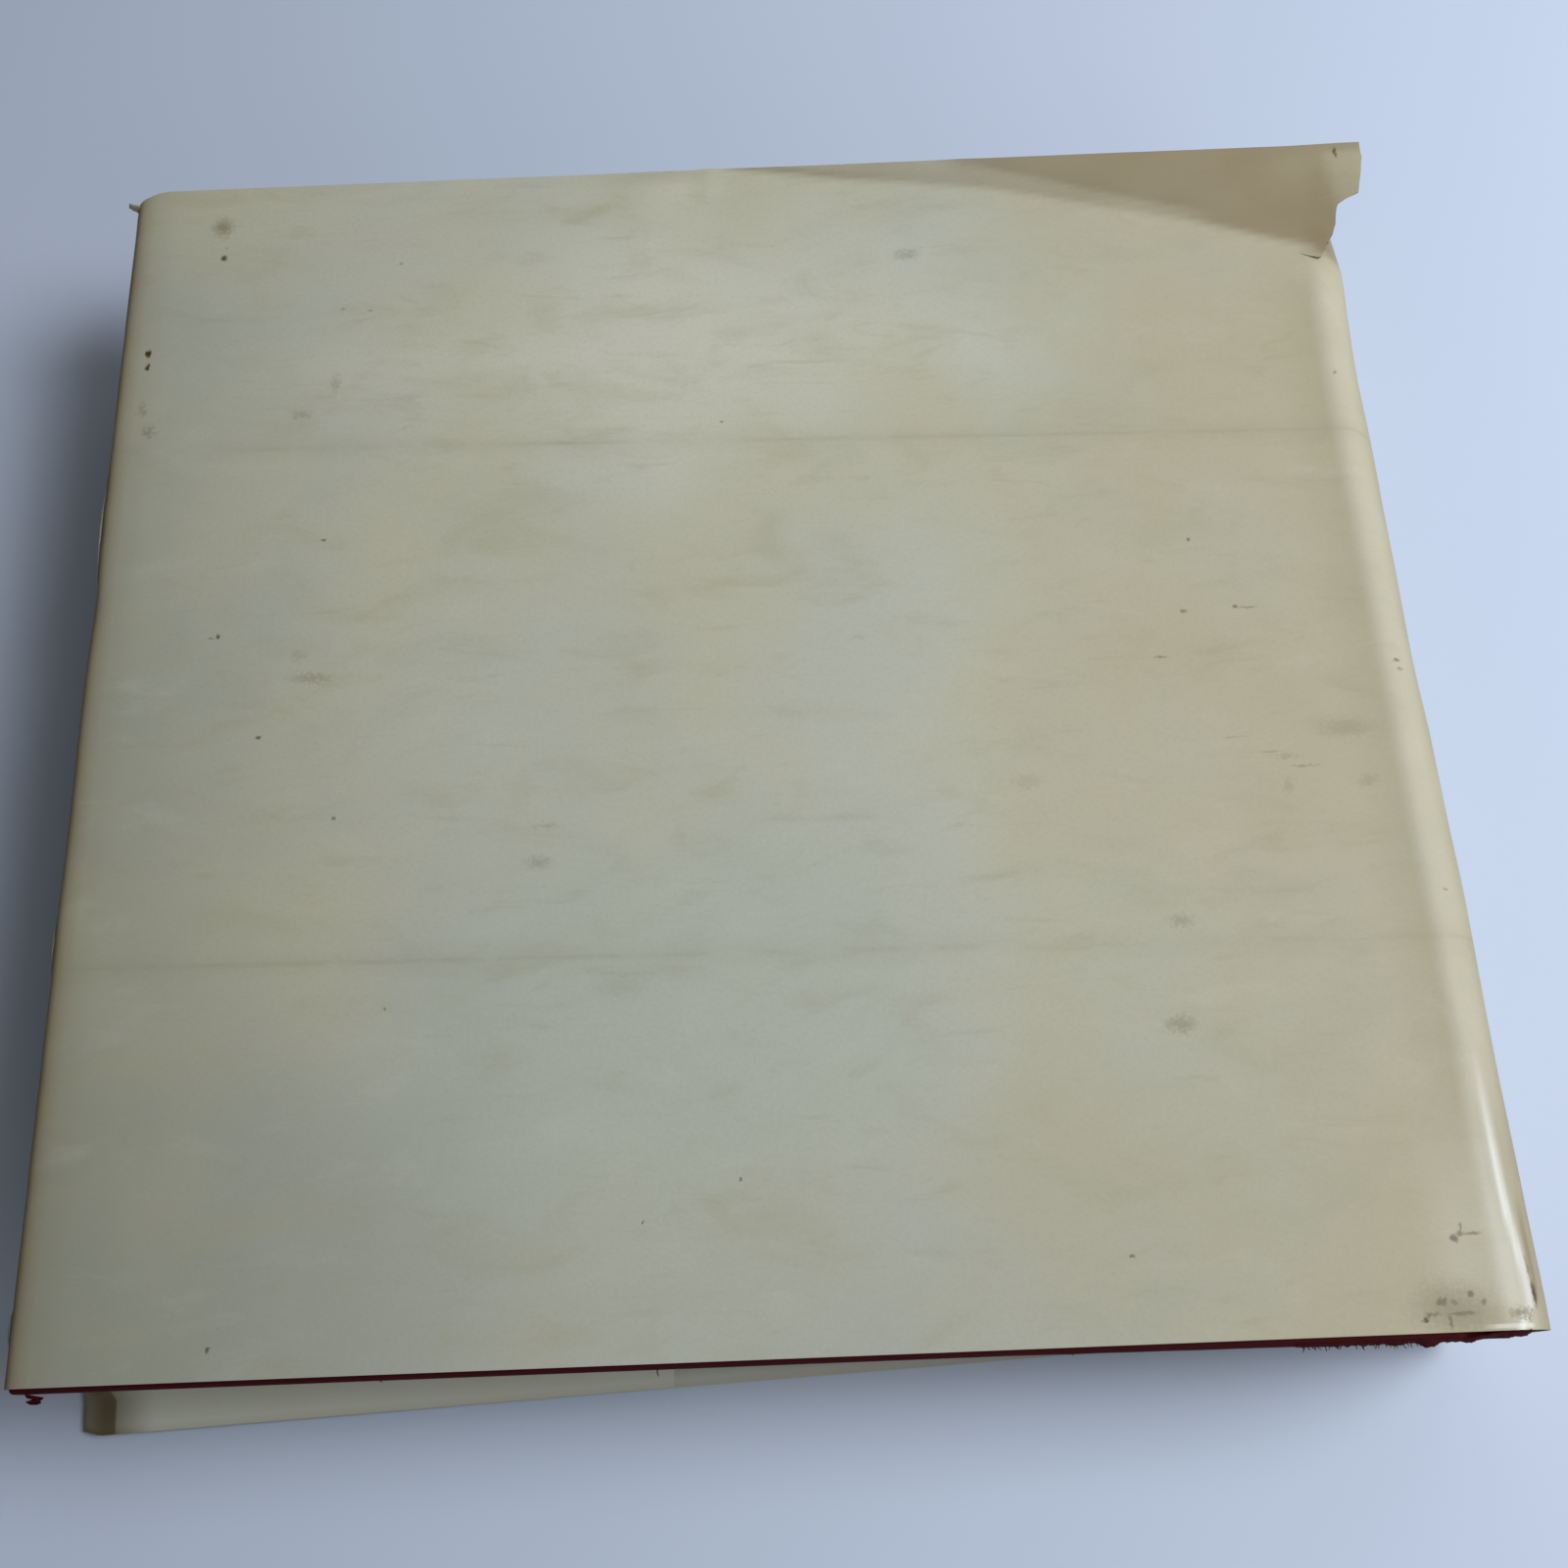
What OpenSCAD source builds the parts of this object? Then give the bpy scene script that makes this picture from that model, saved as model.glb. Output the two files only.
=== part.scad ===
// Large case-bound book with a rounded and backed spine, lying on its front cover
// in a loose paper jacket. X runs towards the spine, Y towards the head, Z up.

/* [Case] */
// Width of a cover, from its fore-edge to the joint
cover_w = 276; // [180:1:320]
// Height of the covers, from tail to head
cover_h = 287; // [180:1:340]
// Thickness of the boards
board_t = 3; // [1.5:0.1:5]
// Thickness of the covering cloth
cloth_t = 0.5; // [0.3:0.05:0.8]
// Width of the cloth turned in over the board's edges
turn_in = 16; // [8:1:25]
// Width of the open joint between a board and the shoulder of the text block
joint_w = 8; // [6.5:0.1:12]
// Rounding of the cloth where it turns into the joint
joint_lip = 1; // [0.6:0.1:1.5]
// Thickness of the card that stiffens the spine
inlay_t = 0.8; // [0.5:0.1:1.2]

/* [Text block] */
// Thickness of all the sections together
text_t = 37.4; // [20:0.1:60]
// Number of sewn sections
section_count = 18; // [8:1:18]
// Distance that the covers stand out past the leaves
square_w = 3.5; // [2:0.1:6]
// Rise of the rounded back over its shoulders
spine_rise = 8; // [4:0.1:10]
// Height that backing turns each shoulder out by
shoulder_h = 1.5; // [0.5:0.1:2]
// Length over which the leaves bend out to the shoulders
shoulder_len = 6; // [3:0.1:7]
// Distance kept by the folds of neighbouring sections from sharing a bend
fold_round = 0.9; // [0.5:0.05:1]

/* [Endpapers] */
// Thickness of the endpapers
endpaper_t = 0.3; // [0.2:0.05:0.5]
// Margin of turned-in cloth left bare round a pastedown
pastedown_margin = 3.5; // [2:0.5:8]

/* [Back linings] */
// Thickness of the linen tapes
tape_t = 0.3; // [0.2:0.05:0.5]
// Width of each linen tape
tape_w = 14; // [8:1:20]
// Number of linen tapes
tape_count = 4; // [2:1:6]
// Distance from the ends of the back to the kettle stitches
kettle_inset = 14; // [8:1:24]
// Diameter of the sewing thread
thread_d = 0.6; // [0.3:0.05:0.8]
// Thickness of the open-weave mull
mull_t = 0.3; // [0.2:0.05:0.5]
// Thickness of the paper lining
lining_t = 0.3; // [0.2:0.05:0.6]
// Diameter of the headband's core
headband_d = 2.4; // [1.5:0.1:3.5]
// Height that a headband stands past the leaves
headband_stand = 1.4; // [0.5:0.1:1.9]
// Film of paste under each lining
paste_t = 0.04; // [0.02:0.01:0.1]
// Hollow between the lined back and the spine card
hollow = 0.4; // [0.3:0.1:1]

/* [Jacket] */
// Thickness of the jacket's paper
jacket_t = 0.4; // [0.2:0.05:0.6]
// Length by which the jacket is shorter than the covers
jacket_short = 1.5; // [0:0.1:4]
// Distance from the cover's tail to the jacket's tail
jacket_lift = 1.5; // [0:0.1:4]
// Width of the flaps
flap_w = 125; // [60:1:160]
// Slack between the boards' fore-edge and the jacket's folds
fold_slack = 0.8; // [0.4:0.1:2]
// Reach of the front fold past the board, where the slip has flattened it to a wedge
wedge_reach = 4.4; // [1:0.1:8]
// Slack between the rounded spine and the jacket
spine_slack = 3.6; // [1.5:0.1:6]
// Radius at which the jacket turns onto the spine
jacket_bend = 12; // [8:0.5:16]
// Angle that the front half of the jacket has slipped round by
jacket_skew = 2.4; // [0:0.1:4]
// Distance from the fore-edge to the point that it slipped about
skew_x = 209; // [150:1:320]

/* [Fits] */
// Gap between pieces that move apart
clear = 0.3; // [0.2:0.05:0.5]
// Height of the cover's hinge line over the leaves
hinge_rise = 3; // [2.5:0.1:3.6]
// Distance from the shoulder back to the hinge line
hinge_set = 1; // [0.5:0.1:1.5]

/* [Hidden] */
$fn = 96;
bite = 0.01;
flare_steps = 5;
fold_steps = 6;
bend_fn = 64;

// Heights in the lower half; the upper half is its mirror image
cloth_z = jacket_t;
board_z = cloth_z + cloth_t;
turn_in_z = board_z + board_t;
pastedown_z = turn_in_z + cloth_t;
flap_z = pastedown_z + endpaper_t;
leaf_z = flap_z + jacket_t + clear;
text_z = leaf_z + endpaper_t + clear;
total_t = 2 * text_z + text_t;
mid_z = total_t / 2;

// The rounded back is one arc through both shoulders
shoulder_x = cover_w + joint_w;
half_chord = text_t / 2 + shoulder_h;
back_r = (half_chord * half_chord + spine_rise * spine_rise) / (2 * spine_rise);
back_x = shoulder_x + spine_rise - back_r;
back_angle = asin(half_chord / back_r);

// Radii of what lies on the back, from the leaves outwards
tape_r = back_r;
mull_r = tape_r + tape_t + paste_t;
lining_r = mull_r + mull_t + paste_t;
inlay_r = lining_r + lining_t + hollow;
spine_cloth_r = inlay_r + inlay_t;
spine_r = spine_cloth_r + cloth_t;
spine_x = back_x + spine_r;
case_angle = back_angle - 6;

text_h = cover_h - 2 * square_w;
text_y = square_w;
leaf_w = shoulder_x - square_w;
section_t = text_t / section_count;

hinge_x = shoulder_x - hinge_set;
hinge_z = text_z + text_t + hinge_rise;
strip_x = cover_w + clear;
crossing_z = text_z - shoulder_h - 2 * endpaper_t - 2 * clear;
groove_z = crossing_z - clear - cloth_t;

jacket_h = cover_h - jacket_short;
jacket_y = jacket_lift;
jacket_spine_x = spine_x + spine_slack;
bend_x = jacket_spine_x - jacket_bend;
fold_x = -fold_slack - jacket_t;
wedge_x = fold_x - wedge_reach;

// The slipped front half of the jacket moves the middle of the whole outline
low_x = skew_x - (skew_x - wedge_x) * cos(jacket_skew) - jacket_h * sin(jacket_skew);
high_x = jacket_spine_x + jacket_t;
low_y = min(0, jacket_y - (skew_x - wedge_x) * sin(jacket_skew));
high_y = max(cover_h, jacket_y + jacket_h / cos(jacket_skew)
    + (cover_w - skew_x) * tan(jacket_skew));
mid_x = (low_x + high_x) / 2;
mid_y = (low_y + high_y) / 2;

SECTIONS = [for (i = [1 : section_count]) str("section_", i < 10 ? "0" : "", i)];

// ---- Helpers ----

// Puts the book over the origin, on the ground
module placed() {
    translate([-mid_x, -mid_y, 0]) children();
}

// Turns a piece of the lower half into its partner in the upper half
module upper() {
    translate([0, 0, total_t]) mirror([0, 0, 1]) children();
}

// Draws an outline in X and Z and runs it along Y
module along(y0, y1) {
    translate([0, y1, 0]) rotate([90, 0, 0]) linear_extrude(height = y1 - y0) children();
}

module block(x0, x1, y0, y1, z0, z1) {
    translate([x0, y0, z0]) cube([x1 - x0, y1 - y0, z1 - z0]);
}

// Wedge seen from the middle of the back's arc, between two angles
module wedge(a0, a1, r) {
    polygon(concat([[0, 0]], [for (i = [0 : 8]) let (a = a0 + (a1 - a0) * i / 8)
        2 * r * [cos(a), sin(a)]]));
}

// Part of a round shell about the middle of the back's arc
module back_shell(r, t, angle) {
    translate([back_x, mid_z]) intersection() {
        difference() {
            circle(r + t);
            circle(r);
        }
        wedge(-angle, angle, r);
    }
}

// ---- Text block ----

// Height of a leaf in the flat of the block, and the part that backing adds
function turned(u) = shoulder_h * pow(2 * u / text_t, 3);
function back_end(u) = back_x + sqrt(pow(back_r, 2) - pow(u + turned(u), 2));
function fore_end(u) = back_end(u) - leaf_w;
function eased(t) = t * t * (3 - 2 * t);

// Line of one leaf from the fore-edge to just short of its fold
function leaf_line(u) = let (x1 = back_end(u) - fold_round, x0 = shoulder_x - shoulder_len)
    concat([[fore_end(u), mid_z + u]],
        [for (i = [0 : flare_steps]) let (t = i / flare_steps)
            [x0 + (x1 - x0) * t, mid_z + u + turned(u) * eased(t)]]);

// Round of the fold between the ends of a section's two outer leaves
function fold_arc(a, b) = let (m = (a + b) / 2, h = (b - a) / 2)
    [for (i = [1 : fold_steps - 1]) let (t = 180 * i / fold_steps)
        m - h * cos(t) + [fold_round * sin(t), 0]];

module section(i) {
    low = leaf_line(-text_t / 2 + section_t * i);
    high = leaf_line(-text_t / 2 + section_t * (i + 1));
    fold = fold_arc(low[len(low) - 1], high[len(high) - 1]);
    color("ivory") placed() along(text_y, text_y + text_h)
        polygon(concat(low, fold, [for (k = [len(high) - 1 : -1 : 0]) high[k]]));
}

module back_tape(y) {
    along(y - tape_w / 2, y + tape_w / 2) back_shell(tape_r, tape_t, back_angle);
}

module sewing_tapes() {
    span = text_h - 2 * kettle_inset;
    color("wheat") placed() for (i = [1 : tape_count])
        back_tape(text_y + kettle_inset + span * i / (tape_count + 1));
}

// Thread that links each section to the next, near both ends of the back
module kettle_stitches() {
    color("white") placed() for (y = [text_y + kettle_inset, text_y + text_h - kettle_inset])
        along(y - thread_d / 2, y + thread_d / 2)
            back_shell(tape_r, tape_t, back_angle - 1);
}

module mull() {
    color("beige") placed() along(text_y + kettle_inset / 2, text_y + text_h - kettle_inset / 2)
        back_shell(mull_r, mull_t, back_angle);
}

module spine_lining() {
    color("tan") placed() along(text_y, text_y + text_h)
        back_shell(lining_r, lining_t, back_angle - 1);
}

// Corded band glued across the end of the back, standing a little past the leaves
module headband(y) {
    angle = back_angle - 4;
    r = back_r - headband_d / 2;
    color("crimson") placed() translate([back_x, y, mid_z]) rotate([90, 0, 0])
        rotate([0, 0, -angle]) rotate_extrude(angle = 2 * angle, $fn = 96)
            translate([r, 0]) intersection() {
                circle(headband_d / 2, $fn = 32);
                square([headband_d, headband_stand], center = true);
            }
}

module headband_head() {
    headband(text_y + text_h + headband_stand / 2);
}

module headband_tail() {
    headband(text_y - headband_stand / 2);
}

// ---- Endpapers ----

module free_leaf() {
    block(fore_end(text_t / 2), strip_x, text_y, text_y + text_h, leaf_z, leaf_z + endpaper_t);
}

// Pasted sheet that also fills the bed inside the turned-in cloth
module pastedown() {
    m = pastedown_margin;
    block(m, cover_w, m, cover_h - m, pastedown_z, pastedown_z + endpaper_t);
    block(turn_in, cover_w, turn_in, cover_h - turn_in, turn_in_z, pastedown_z);
}

// Endpaper and mull where they cross the joint, from the board down to the shoulder
module joint_paper() {
    x1 = shoulder_x - shoulder_len + clear;
    along(text_y, text_y + text_h) polygon([
        [strip_x, pastedown_z], [x1, pastedown_z], [hinge_x, crossing_z],
        [hinge_x, crossing_z + endpaper_t], [x1 + clear, flap_z], [strip_x, flap_z]]);
}

module front_free_endpaper() {
    color("antiquewhite") placed() free_leaf();
}

module back_free_endpaper() {
    color("antiquewhite") placed() upper() free_leaf();
}

module front_pastedown() {
    color("antiquewhite") placed() pastedown();
}

module back_pastedown() {
    color("antiquewhite") placed() upper() pastedown();
}

module front_joint_endpaper() {
    color("antiquewhite") placed() joint_paper();
}

module back_joint_endpaper() {
    color("antiquewhite") placed() upper() joint_paper();
}

// ---- Case ----

module board() {
    block(cloth_t, cover_w, cloth_t, cover_h - cloth_t, board_z, turn_in_z);
}

// Cloth over the outside of a board, round three edges and turned in behind
module cover_cloth() {
    difference() {
        block(0, cover_w, 0, cover_h, cloth_z, pastedown_z);
        board();
        block(turn_in, cover_w + 1, turn_in, cover_h - turn_in, turn_in_z - bite, pastedown_z + 1);
    }
}

// Cloth pressed down into the joint beside the board and up over the shoulder
module joint_cloth() {
    edge = strip_x + joint_lip;
    end_x = back_x + spine_r * cos(case_angle);
    end_z = mid_z - spine_r * sin(case_angle) - clear;
    along(0, cover_h) polygon([
        [strip_x, cloth_z], [edge, cloth_z], [edge + joint_lip, groove_z],
        [shoulder_x + joint_lip, groove_z], [end_x, end_z - cloth_t],
        [end_x, end_z], [shoulder_x + joint_lip - cloth_t / 2, groove_z + cloth_t],
        [edge + joint_lip - cloth_t / 2, groove_z + cloth_t],
        [edge - cloth_t / 2, board_z], [strip_x, board_z]]);
}

module front_board() {
    color("tan") placed() board();
}

module back_board() {
    color("tan") placed() upper() board();
}

module spine_inlay() {
    color("tan") placed() along(cloth_t, cover_h - cloth_t)
        back_shell(inlay_r, inlay_t, case_angle);
}

// Cloth over the spine card, turned over the card's two ends
module spine_cloth() {
    color("darkred") placed() {
        along(0, cover_h) back_shell(spine_cloth_r, cloth_t, case_angle);
        for (y = [0, cover_h - cloth_t])
            along(y, y + cloth_t) back_shell(inlay_r, inlay_t, case_angle);
    }
}

module front_cover_cloth() {
    color("darkred") placed() cover_cloth();
}

module back_cover_cloth() {
    color("darkred") placed() upper() cover_cloth();
}

module front_joint_cloth() {
    color("darkred") placed() joint_cloth();
}

module back_joint_cloth() {
    color("darkred") placed() upper() joint_cloth();
}

// ---- Jacket ----

// End of a flat bag in X and Z, closed at x with both corners rounded
module soft_end(x, z0, z1, r, x1) {
    translate([x + r, z0]) square([x1 - x - r, z1 - z0]);
    translate([x, z0 + r]) square([2 * r, z1 - z0 - 2 * r]);
    for (z = [z0 + r, z1 - r]) translate([x + r, z]) circle(r, $fn = bend_fn);
}

// Sheet along the outside of a cover, round its fore-edge and in behind as a flap
module jacket_fold(edge) {
    along(jacket_y, jacket_y + jacket_h) difference() {
        union() {
            soft_end(fold_x, 0, flap_z + jacket_t, fold_slack + jacket_t, flap_w);
            square([edge, jacket_t]);
        }
        soft_end(fold_x + jacket_t, jacket_t, flap_z, fold_slack, edge);
    }
}

// The same sheet where its fold is squeezed to a wedge, low outside and high at the board
module jacket_wedge(edge) {
    top_z = flap_z + jacket_t;
    lip = fold_slack + jacket_t;
    along(jacket_y, jacket_y + jacket_h) polygon([
        [edge, 0], [wedge_x + lip / 2, 0], [wedge_x, lip / 2], [wedge_x + lip / 4, lip * 3 / 4],
        [-fold_slack, top_z - jacket_t], [-fold_slack / 2, top_z - jacket_t / 4],
        [lip / 2, top_z], [flap_w, top_z], [flap_w, flap_z], [lip / 2, flap_z],
        [-jacket_t / 2, flap_z - jacket_t / 2], [wedge_x + lip, lip * 3 / 4],
        [wedge_x + jacket_t, lip / 2], [wedge_x + lip / 2, jacket_t], [edge, jacket_t]]);
}

// The strip that turns from the cover onto the spine
module jacket_bend_strip() {
    along(jacket_y, jacket_y + jacket_h) {
        translate([strip_x, 0]) square([bend_x - strip_x, jacket_t]);
        translate([bend_x, jacket_bend + jacket_t]) intersection() {
            difference() {
                circle(jacket_bend + jacket_t, $fn = bend_fn);
                circle(jacket_bend, $fn = bend_fn);
            }
            translate([0, -2 * jacket_bend]) square(2 * jacket_bend);
        }
    }
}

module jacket_front() {
    color("cornsilk") placed() intersection() {
        translate([skew_x, jacket_y, 0]) rotate([0, 0, jacket_skew])
            translate([-skew_x, -jacket_y, 0]) jacket_wedge(cover_w + jacket_h);
        block(low_x - 1, cover_w, low_y - 1, high_y + 1, -1, mid_z);
    }
}

module jacket_back() {
    color("cornsilk") placed() upper() jacket_fold(cover_w);
}

module jacket_spine() {
    z0 = jacket_bend + jacket_t;
    color("cornsilk") placed() block(jacket_spine_x, jacket_spine_x + jacket_t,
        jacket_y, jacket_y + jacket_h, z0, total_t - z0);
}

module jacket_front_joint() {
    color("cornsilk") placed() jacket_bend_strip();
}

module jacket_back_joint() {
    color("cornsilk") placed() upper() jacket_bend_strip();
}

for (i = [0 : section_count - 1])
    section(i);
front_free_endpaper();
back_free_endpaper();
front_pastedown();
back_pastedown();
front_joint_endpaper();
back_joint_endpaper();
sewing_tapes();
kettle_stitches();
mull();
spine_lining();
headband_head();
headband_tail();
front_board();
back_board();
spine_inlay();
spine_cloth();
front_cover_cloth();
back_cover_cloth();
front_joint_cloth();
back_joint_cloth();
jacket_front();
jacket_back();
jacket_spine();
jacket_front_joint();
jacket_back_joint();
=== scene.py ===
"""Large cloth-bound book in a worn, loose paper jacket, lying on its front cover."""

import bisect
import math

import bmesh
import bpy
from mathutils import Matrix, Vector, noise


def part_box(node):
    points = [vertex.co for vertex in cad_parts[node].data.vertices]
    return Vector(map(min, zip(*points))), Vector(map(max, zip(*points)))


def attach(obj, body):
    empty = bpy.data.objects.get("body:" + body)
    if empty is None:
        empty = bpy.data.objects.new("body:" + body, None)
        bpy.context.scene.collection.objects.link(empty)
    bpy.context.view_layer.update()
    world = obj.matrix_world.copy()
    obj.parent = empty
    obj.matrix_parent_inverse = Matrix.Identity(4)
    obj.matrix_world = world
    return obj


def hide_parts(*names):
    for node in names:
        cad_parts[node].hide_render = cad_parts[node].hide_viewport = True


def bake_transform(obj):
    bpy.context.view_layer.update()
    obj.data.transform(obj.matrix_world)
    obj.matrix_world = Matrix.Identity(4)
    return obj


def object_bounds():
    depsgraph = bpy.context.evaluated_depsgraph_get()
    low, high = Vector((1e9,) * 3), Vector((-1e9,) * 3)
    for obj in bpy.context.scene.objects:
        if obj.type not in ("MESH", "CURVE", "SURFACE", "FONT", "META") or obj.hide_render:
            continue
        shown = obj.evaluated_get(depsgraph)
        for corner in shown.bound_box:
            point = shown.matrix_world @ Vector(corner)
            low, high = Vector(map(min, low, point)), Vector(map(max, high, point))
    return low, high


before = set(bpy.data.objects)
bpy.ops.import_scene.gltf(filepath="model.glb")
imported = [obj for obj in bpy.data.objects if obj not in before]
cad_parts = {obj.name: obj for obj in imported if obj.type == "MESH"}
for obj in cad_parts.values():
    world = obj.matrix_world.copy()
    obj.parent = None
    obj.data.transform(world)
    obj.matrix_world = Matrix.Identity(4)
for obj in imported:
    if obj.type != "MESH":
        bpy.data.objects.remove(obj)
cad_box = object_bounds()

# ---- Sizes, in millimetres from the covers' tail corner at the fore-edge ----

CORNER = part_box("back_cover_cloth")[0]
COVER_W = (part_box("back_cover_cloth")[1] - CORNER).x * 1000
COVER_H = (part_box("back_cover_cloth")[1] - CORNER).y * 1000
TOTAL_T = cad_box[1].z * 1000
MID_Z = TOTAL_T / 2
STRIP_X = COVER_W + 0.3

PAPER_T = 0.4
PAPER_Z = TOTAL_T - PAPER_T / 2
JACKET_Y0 = 1.5
JACKET_Y1 = COVER_H
FLAP_END = 125.0
FLAP_Z = TOTAL_T - 4.9

BEND_R = 12.2
BEND_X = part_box("jacket_spine")[0].x * 1000 - CORNER.x * 1000 + PAPER_T / 2 - BEND_R
BEND_Z = PAPER_Z - BEND_R
BEND_LEN = BEND_R * math.pi / 2
SHEET_END = BEND_X + BEND_LEN + BEND_Z - MID_Z

FOLD_TURN = 2.0
FOLD_HALF_T = (PAPER_Z - FLAP_Z) / 2
FOLD_REACH = 3.0
FOLD_LEN = 10.0

SLIP = math.radians(2.4)
SLIP_X = 209.0

TEAR_Y = 251.2
TEAR_X = 288.2
TEAR_FOLD = 290.0

LEAN = 2.0
BACK_R = 29.5

# Two long creases over the back panel: height at the fore-edge, fall per millimetre
CREASES = ((210.4, 0.0246), (84.2, 0.0149))


def place(x, y, z):
    """Point of the frame, in metres, from book millimetres."""
    return Vector((CORNER.x + x / 1000, CORNER.y + y / 1000, z / 1000))


def ramp(low, high, value):
    """Smooth rise from 0 at low to 1 at high."""
    t = min(1.0, max(0.0, (value - low) / (high - low)))
    return t * t * (3 - 2 * t)


def along(points, x):
    """Height at x of the line through the points."""
    xs = [p[0] for p in points]
    i = min(max(bisect.bisect(xs, x), 1), len(points) - 1)
    (x0, y0), (x1, y1) = points[i - 1], points[i]
    return y0 + (y1 - y0) * min(1.0, max(0.0, (x - x0) / (x1 - x0)))


def steps(low, high, count):
    """Evenly spaced values from low up to but not including high."""
    return [low + (high - low) * i / count for i in range(count)]


def lean(z):
    """How far the tail edge has leaned towards the head at that height."""
    return LEAN * (1 - z / TOTAL_T)


def rough(x, y, size, seed=0.0):
    """Gentle noise from -1 to 1 with features of that size."""
    return noise.noise(Vector((x / size, y / size, seed)))


# ---- Shader building ----


class Wire:
    """A shader socket that takes Python's operators."""

    def __init__(self, finish, socket):
        self.finish = finish
        self.socket = socket

    def math(self, operation, first, second):
        return self.finish.node("ShaderNodeMath", {"operation": operation}, {0: first, 1: second})

    def __add__(self, other):
        return self.math("ADD", self, other)

    def __radd__(self, other):
        return self.math("ADD", other, self)

    def __sub__(self, other):
        return self.math("SUBTRACT", self, other)

    def __rsub__(self, other):
        return self.math("SUBTRACT", other, self)

    def __mul__(self, other):
        return self.math("MULTIPLY", self, other)

    def __rmul__(self, other):
        return self.math("MULTIPLY", other, self)

    def highest(self, other):
        return self.math("MAXIMUM", self, other)

    def lowest(self, other):
        return self.math("MINIMUM", self, other)

    def size(self):
        return self.math("ABSOLUTE", self, 0.0)


class Finish:
    """A material whose nodes are made one after another."""

    def __init__(self, name, **settings):
        self.material = bpy.data.materials.new(name)
        self.material.use_nodes = True
        self.tree = self.material.node_tree
        self.shader = self.tree.nodes["Principled BSDF"]
        for key, value in settings.items():
            self.shader.inputs[key.replace("_", " ")].default_value = value

    def node(self, kind, settings=None, inputs=None, output=0):
        made = self.tree.nodes.new(kind)
        for key, value in (settings or {}).items():
            setattr(made, key, value)
        for key, value in (inputs or {}).items():
            if isinstance(value, Wire):
                self.tree.links.new(value.socket, made.inputs[key])
            else:
                made.inputs[key].default_value = value
        return Wire(self, made.outputs[output])

    def where(self, scale=(1, 1, 1)):
        """Book millimetres, each direction times its scale."""
        spot = self.node("ShaderNodeTexCoord", output="Object")
        moved = self.node("ShaderNodeMapping", inputs={
            "Vector": spot,
            "Location": (-CORNER.x * 1000, -CORNER.y * 1000, 0),
            "Scale": (1000, 1000, 1000),
        })
        if scale == (1, 1, 1):
            return moved
        return self.node("ShaderNodeVectorMath", {"operation": "MULTIPLY"}, {0: moved, 1: scale})

    def axis(self, vector, name):
        return self.node("ShaderNodeSeparateXYZ", inputs={0: vector}, output=name)

    def noise(self, vector, size, detail=2.0, rough=0.5, warp=0.0):
        return self.node("ShaderNodeTexNoise", inputs={
            "Vector": vector, "Scale": 1 / size, "Detail": detail, "Roughness": rough,
            "Distortion": warp,
        })

    def rise(self, value, low, high):
        return self.node("ShaderNodeMapRange", {"interpolation_type": "SMOOTHSTEP"},
                         {"Value": value, "From Min": low, "From Max": high})

    def between(self, value, low, high):
        return self.node("ShaderNodeMapRange", inputs={
            "Value": value, "To Min": low, "To Max": high})

    def mix(self, factor, first, second):
        return self.node("ShaderNodeMix", {"data_type": "RGBA"},
                         {0: factor, 6: first, 7: second}, output=2)

    def painted(self, name):
        return self.node("ShaderNodeAttribute", {"attribute_name": name}, output="Fac")

    def colour(self, value):
        self.tree.links.new(value.socket, self.shader.inputs["Base Color"])

    def roughness(self, value):
        self.tree.links.new(value.socket, self.shader.inputs["Roughness"])

    def relief(self, height, distance, strength=1.0):
        """Bump whose height of 1 stands for that distance in millimetres."""
        bump = self.node("ShaderNodeBump", inputs={
            "Height": height, "Distance": distance / 1000, "Strength": strength}, output="Normal")
        self.tree.links.new(bump.socket, self.shader.inputs["Normal"])


def tint(red, green, blue):
    """Colour for a shader from its screen values, 0 to 255."""
    def linear(value):
        v = value / 255
        return v / 12.92 if v <= 0.04045 else ((v + 0.055) / 1.055) ** 2.4
    return (linear(red), linear(green), linear(blue), 1.0)


# ---- Materials ----

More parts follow.
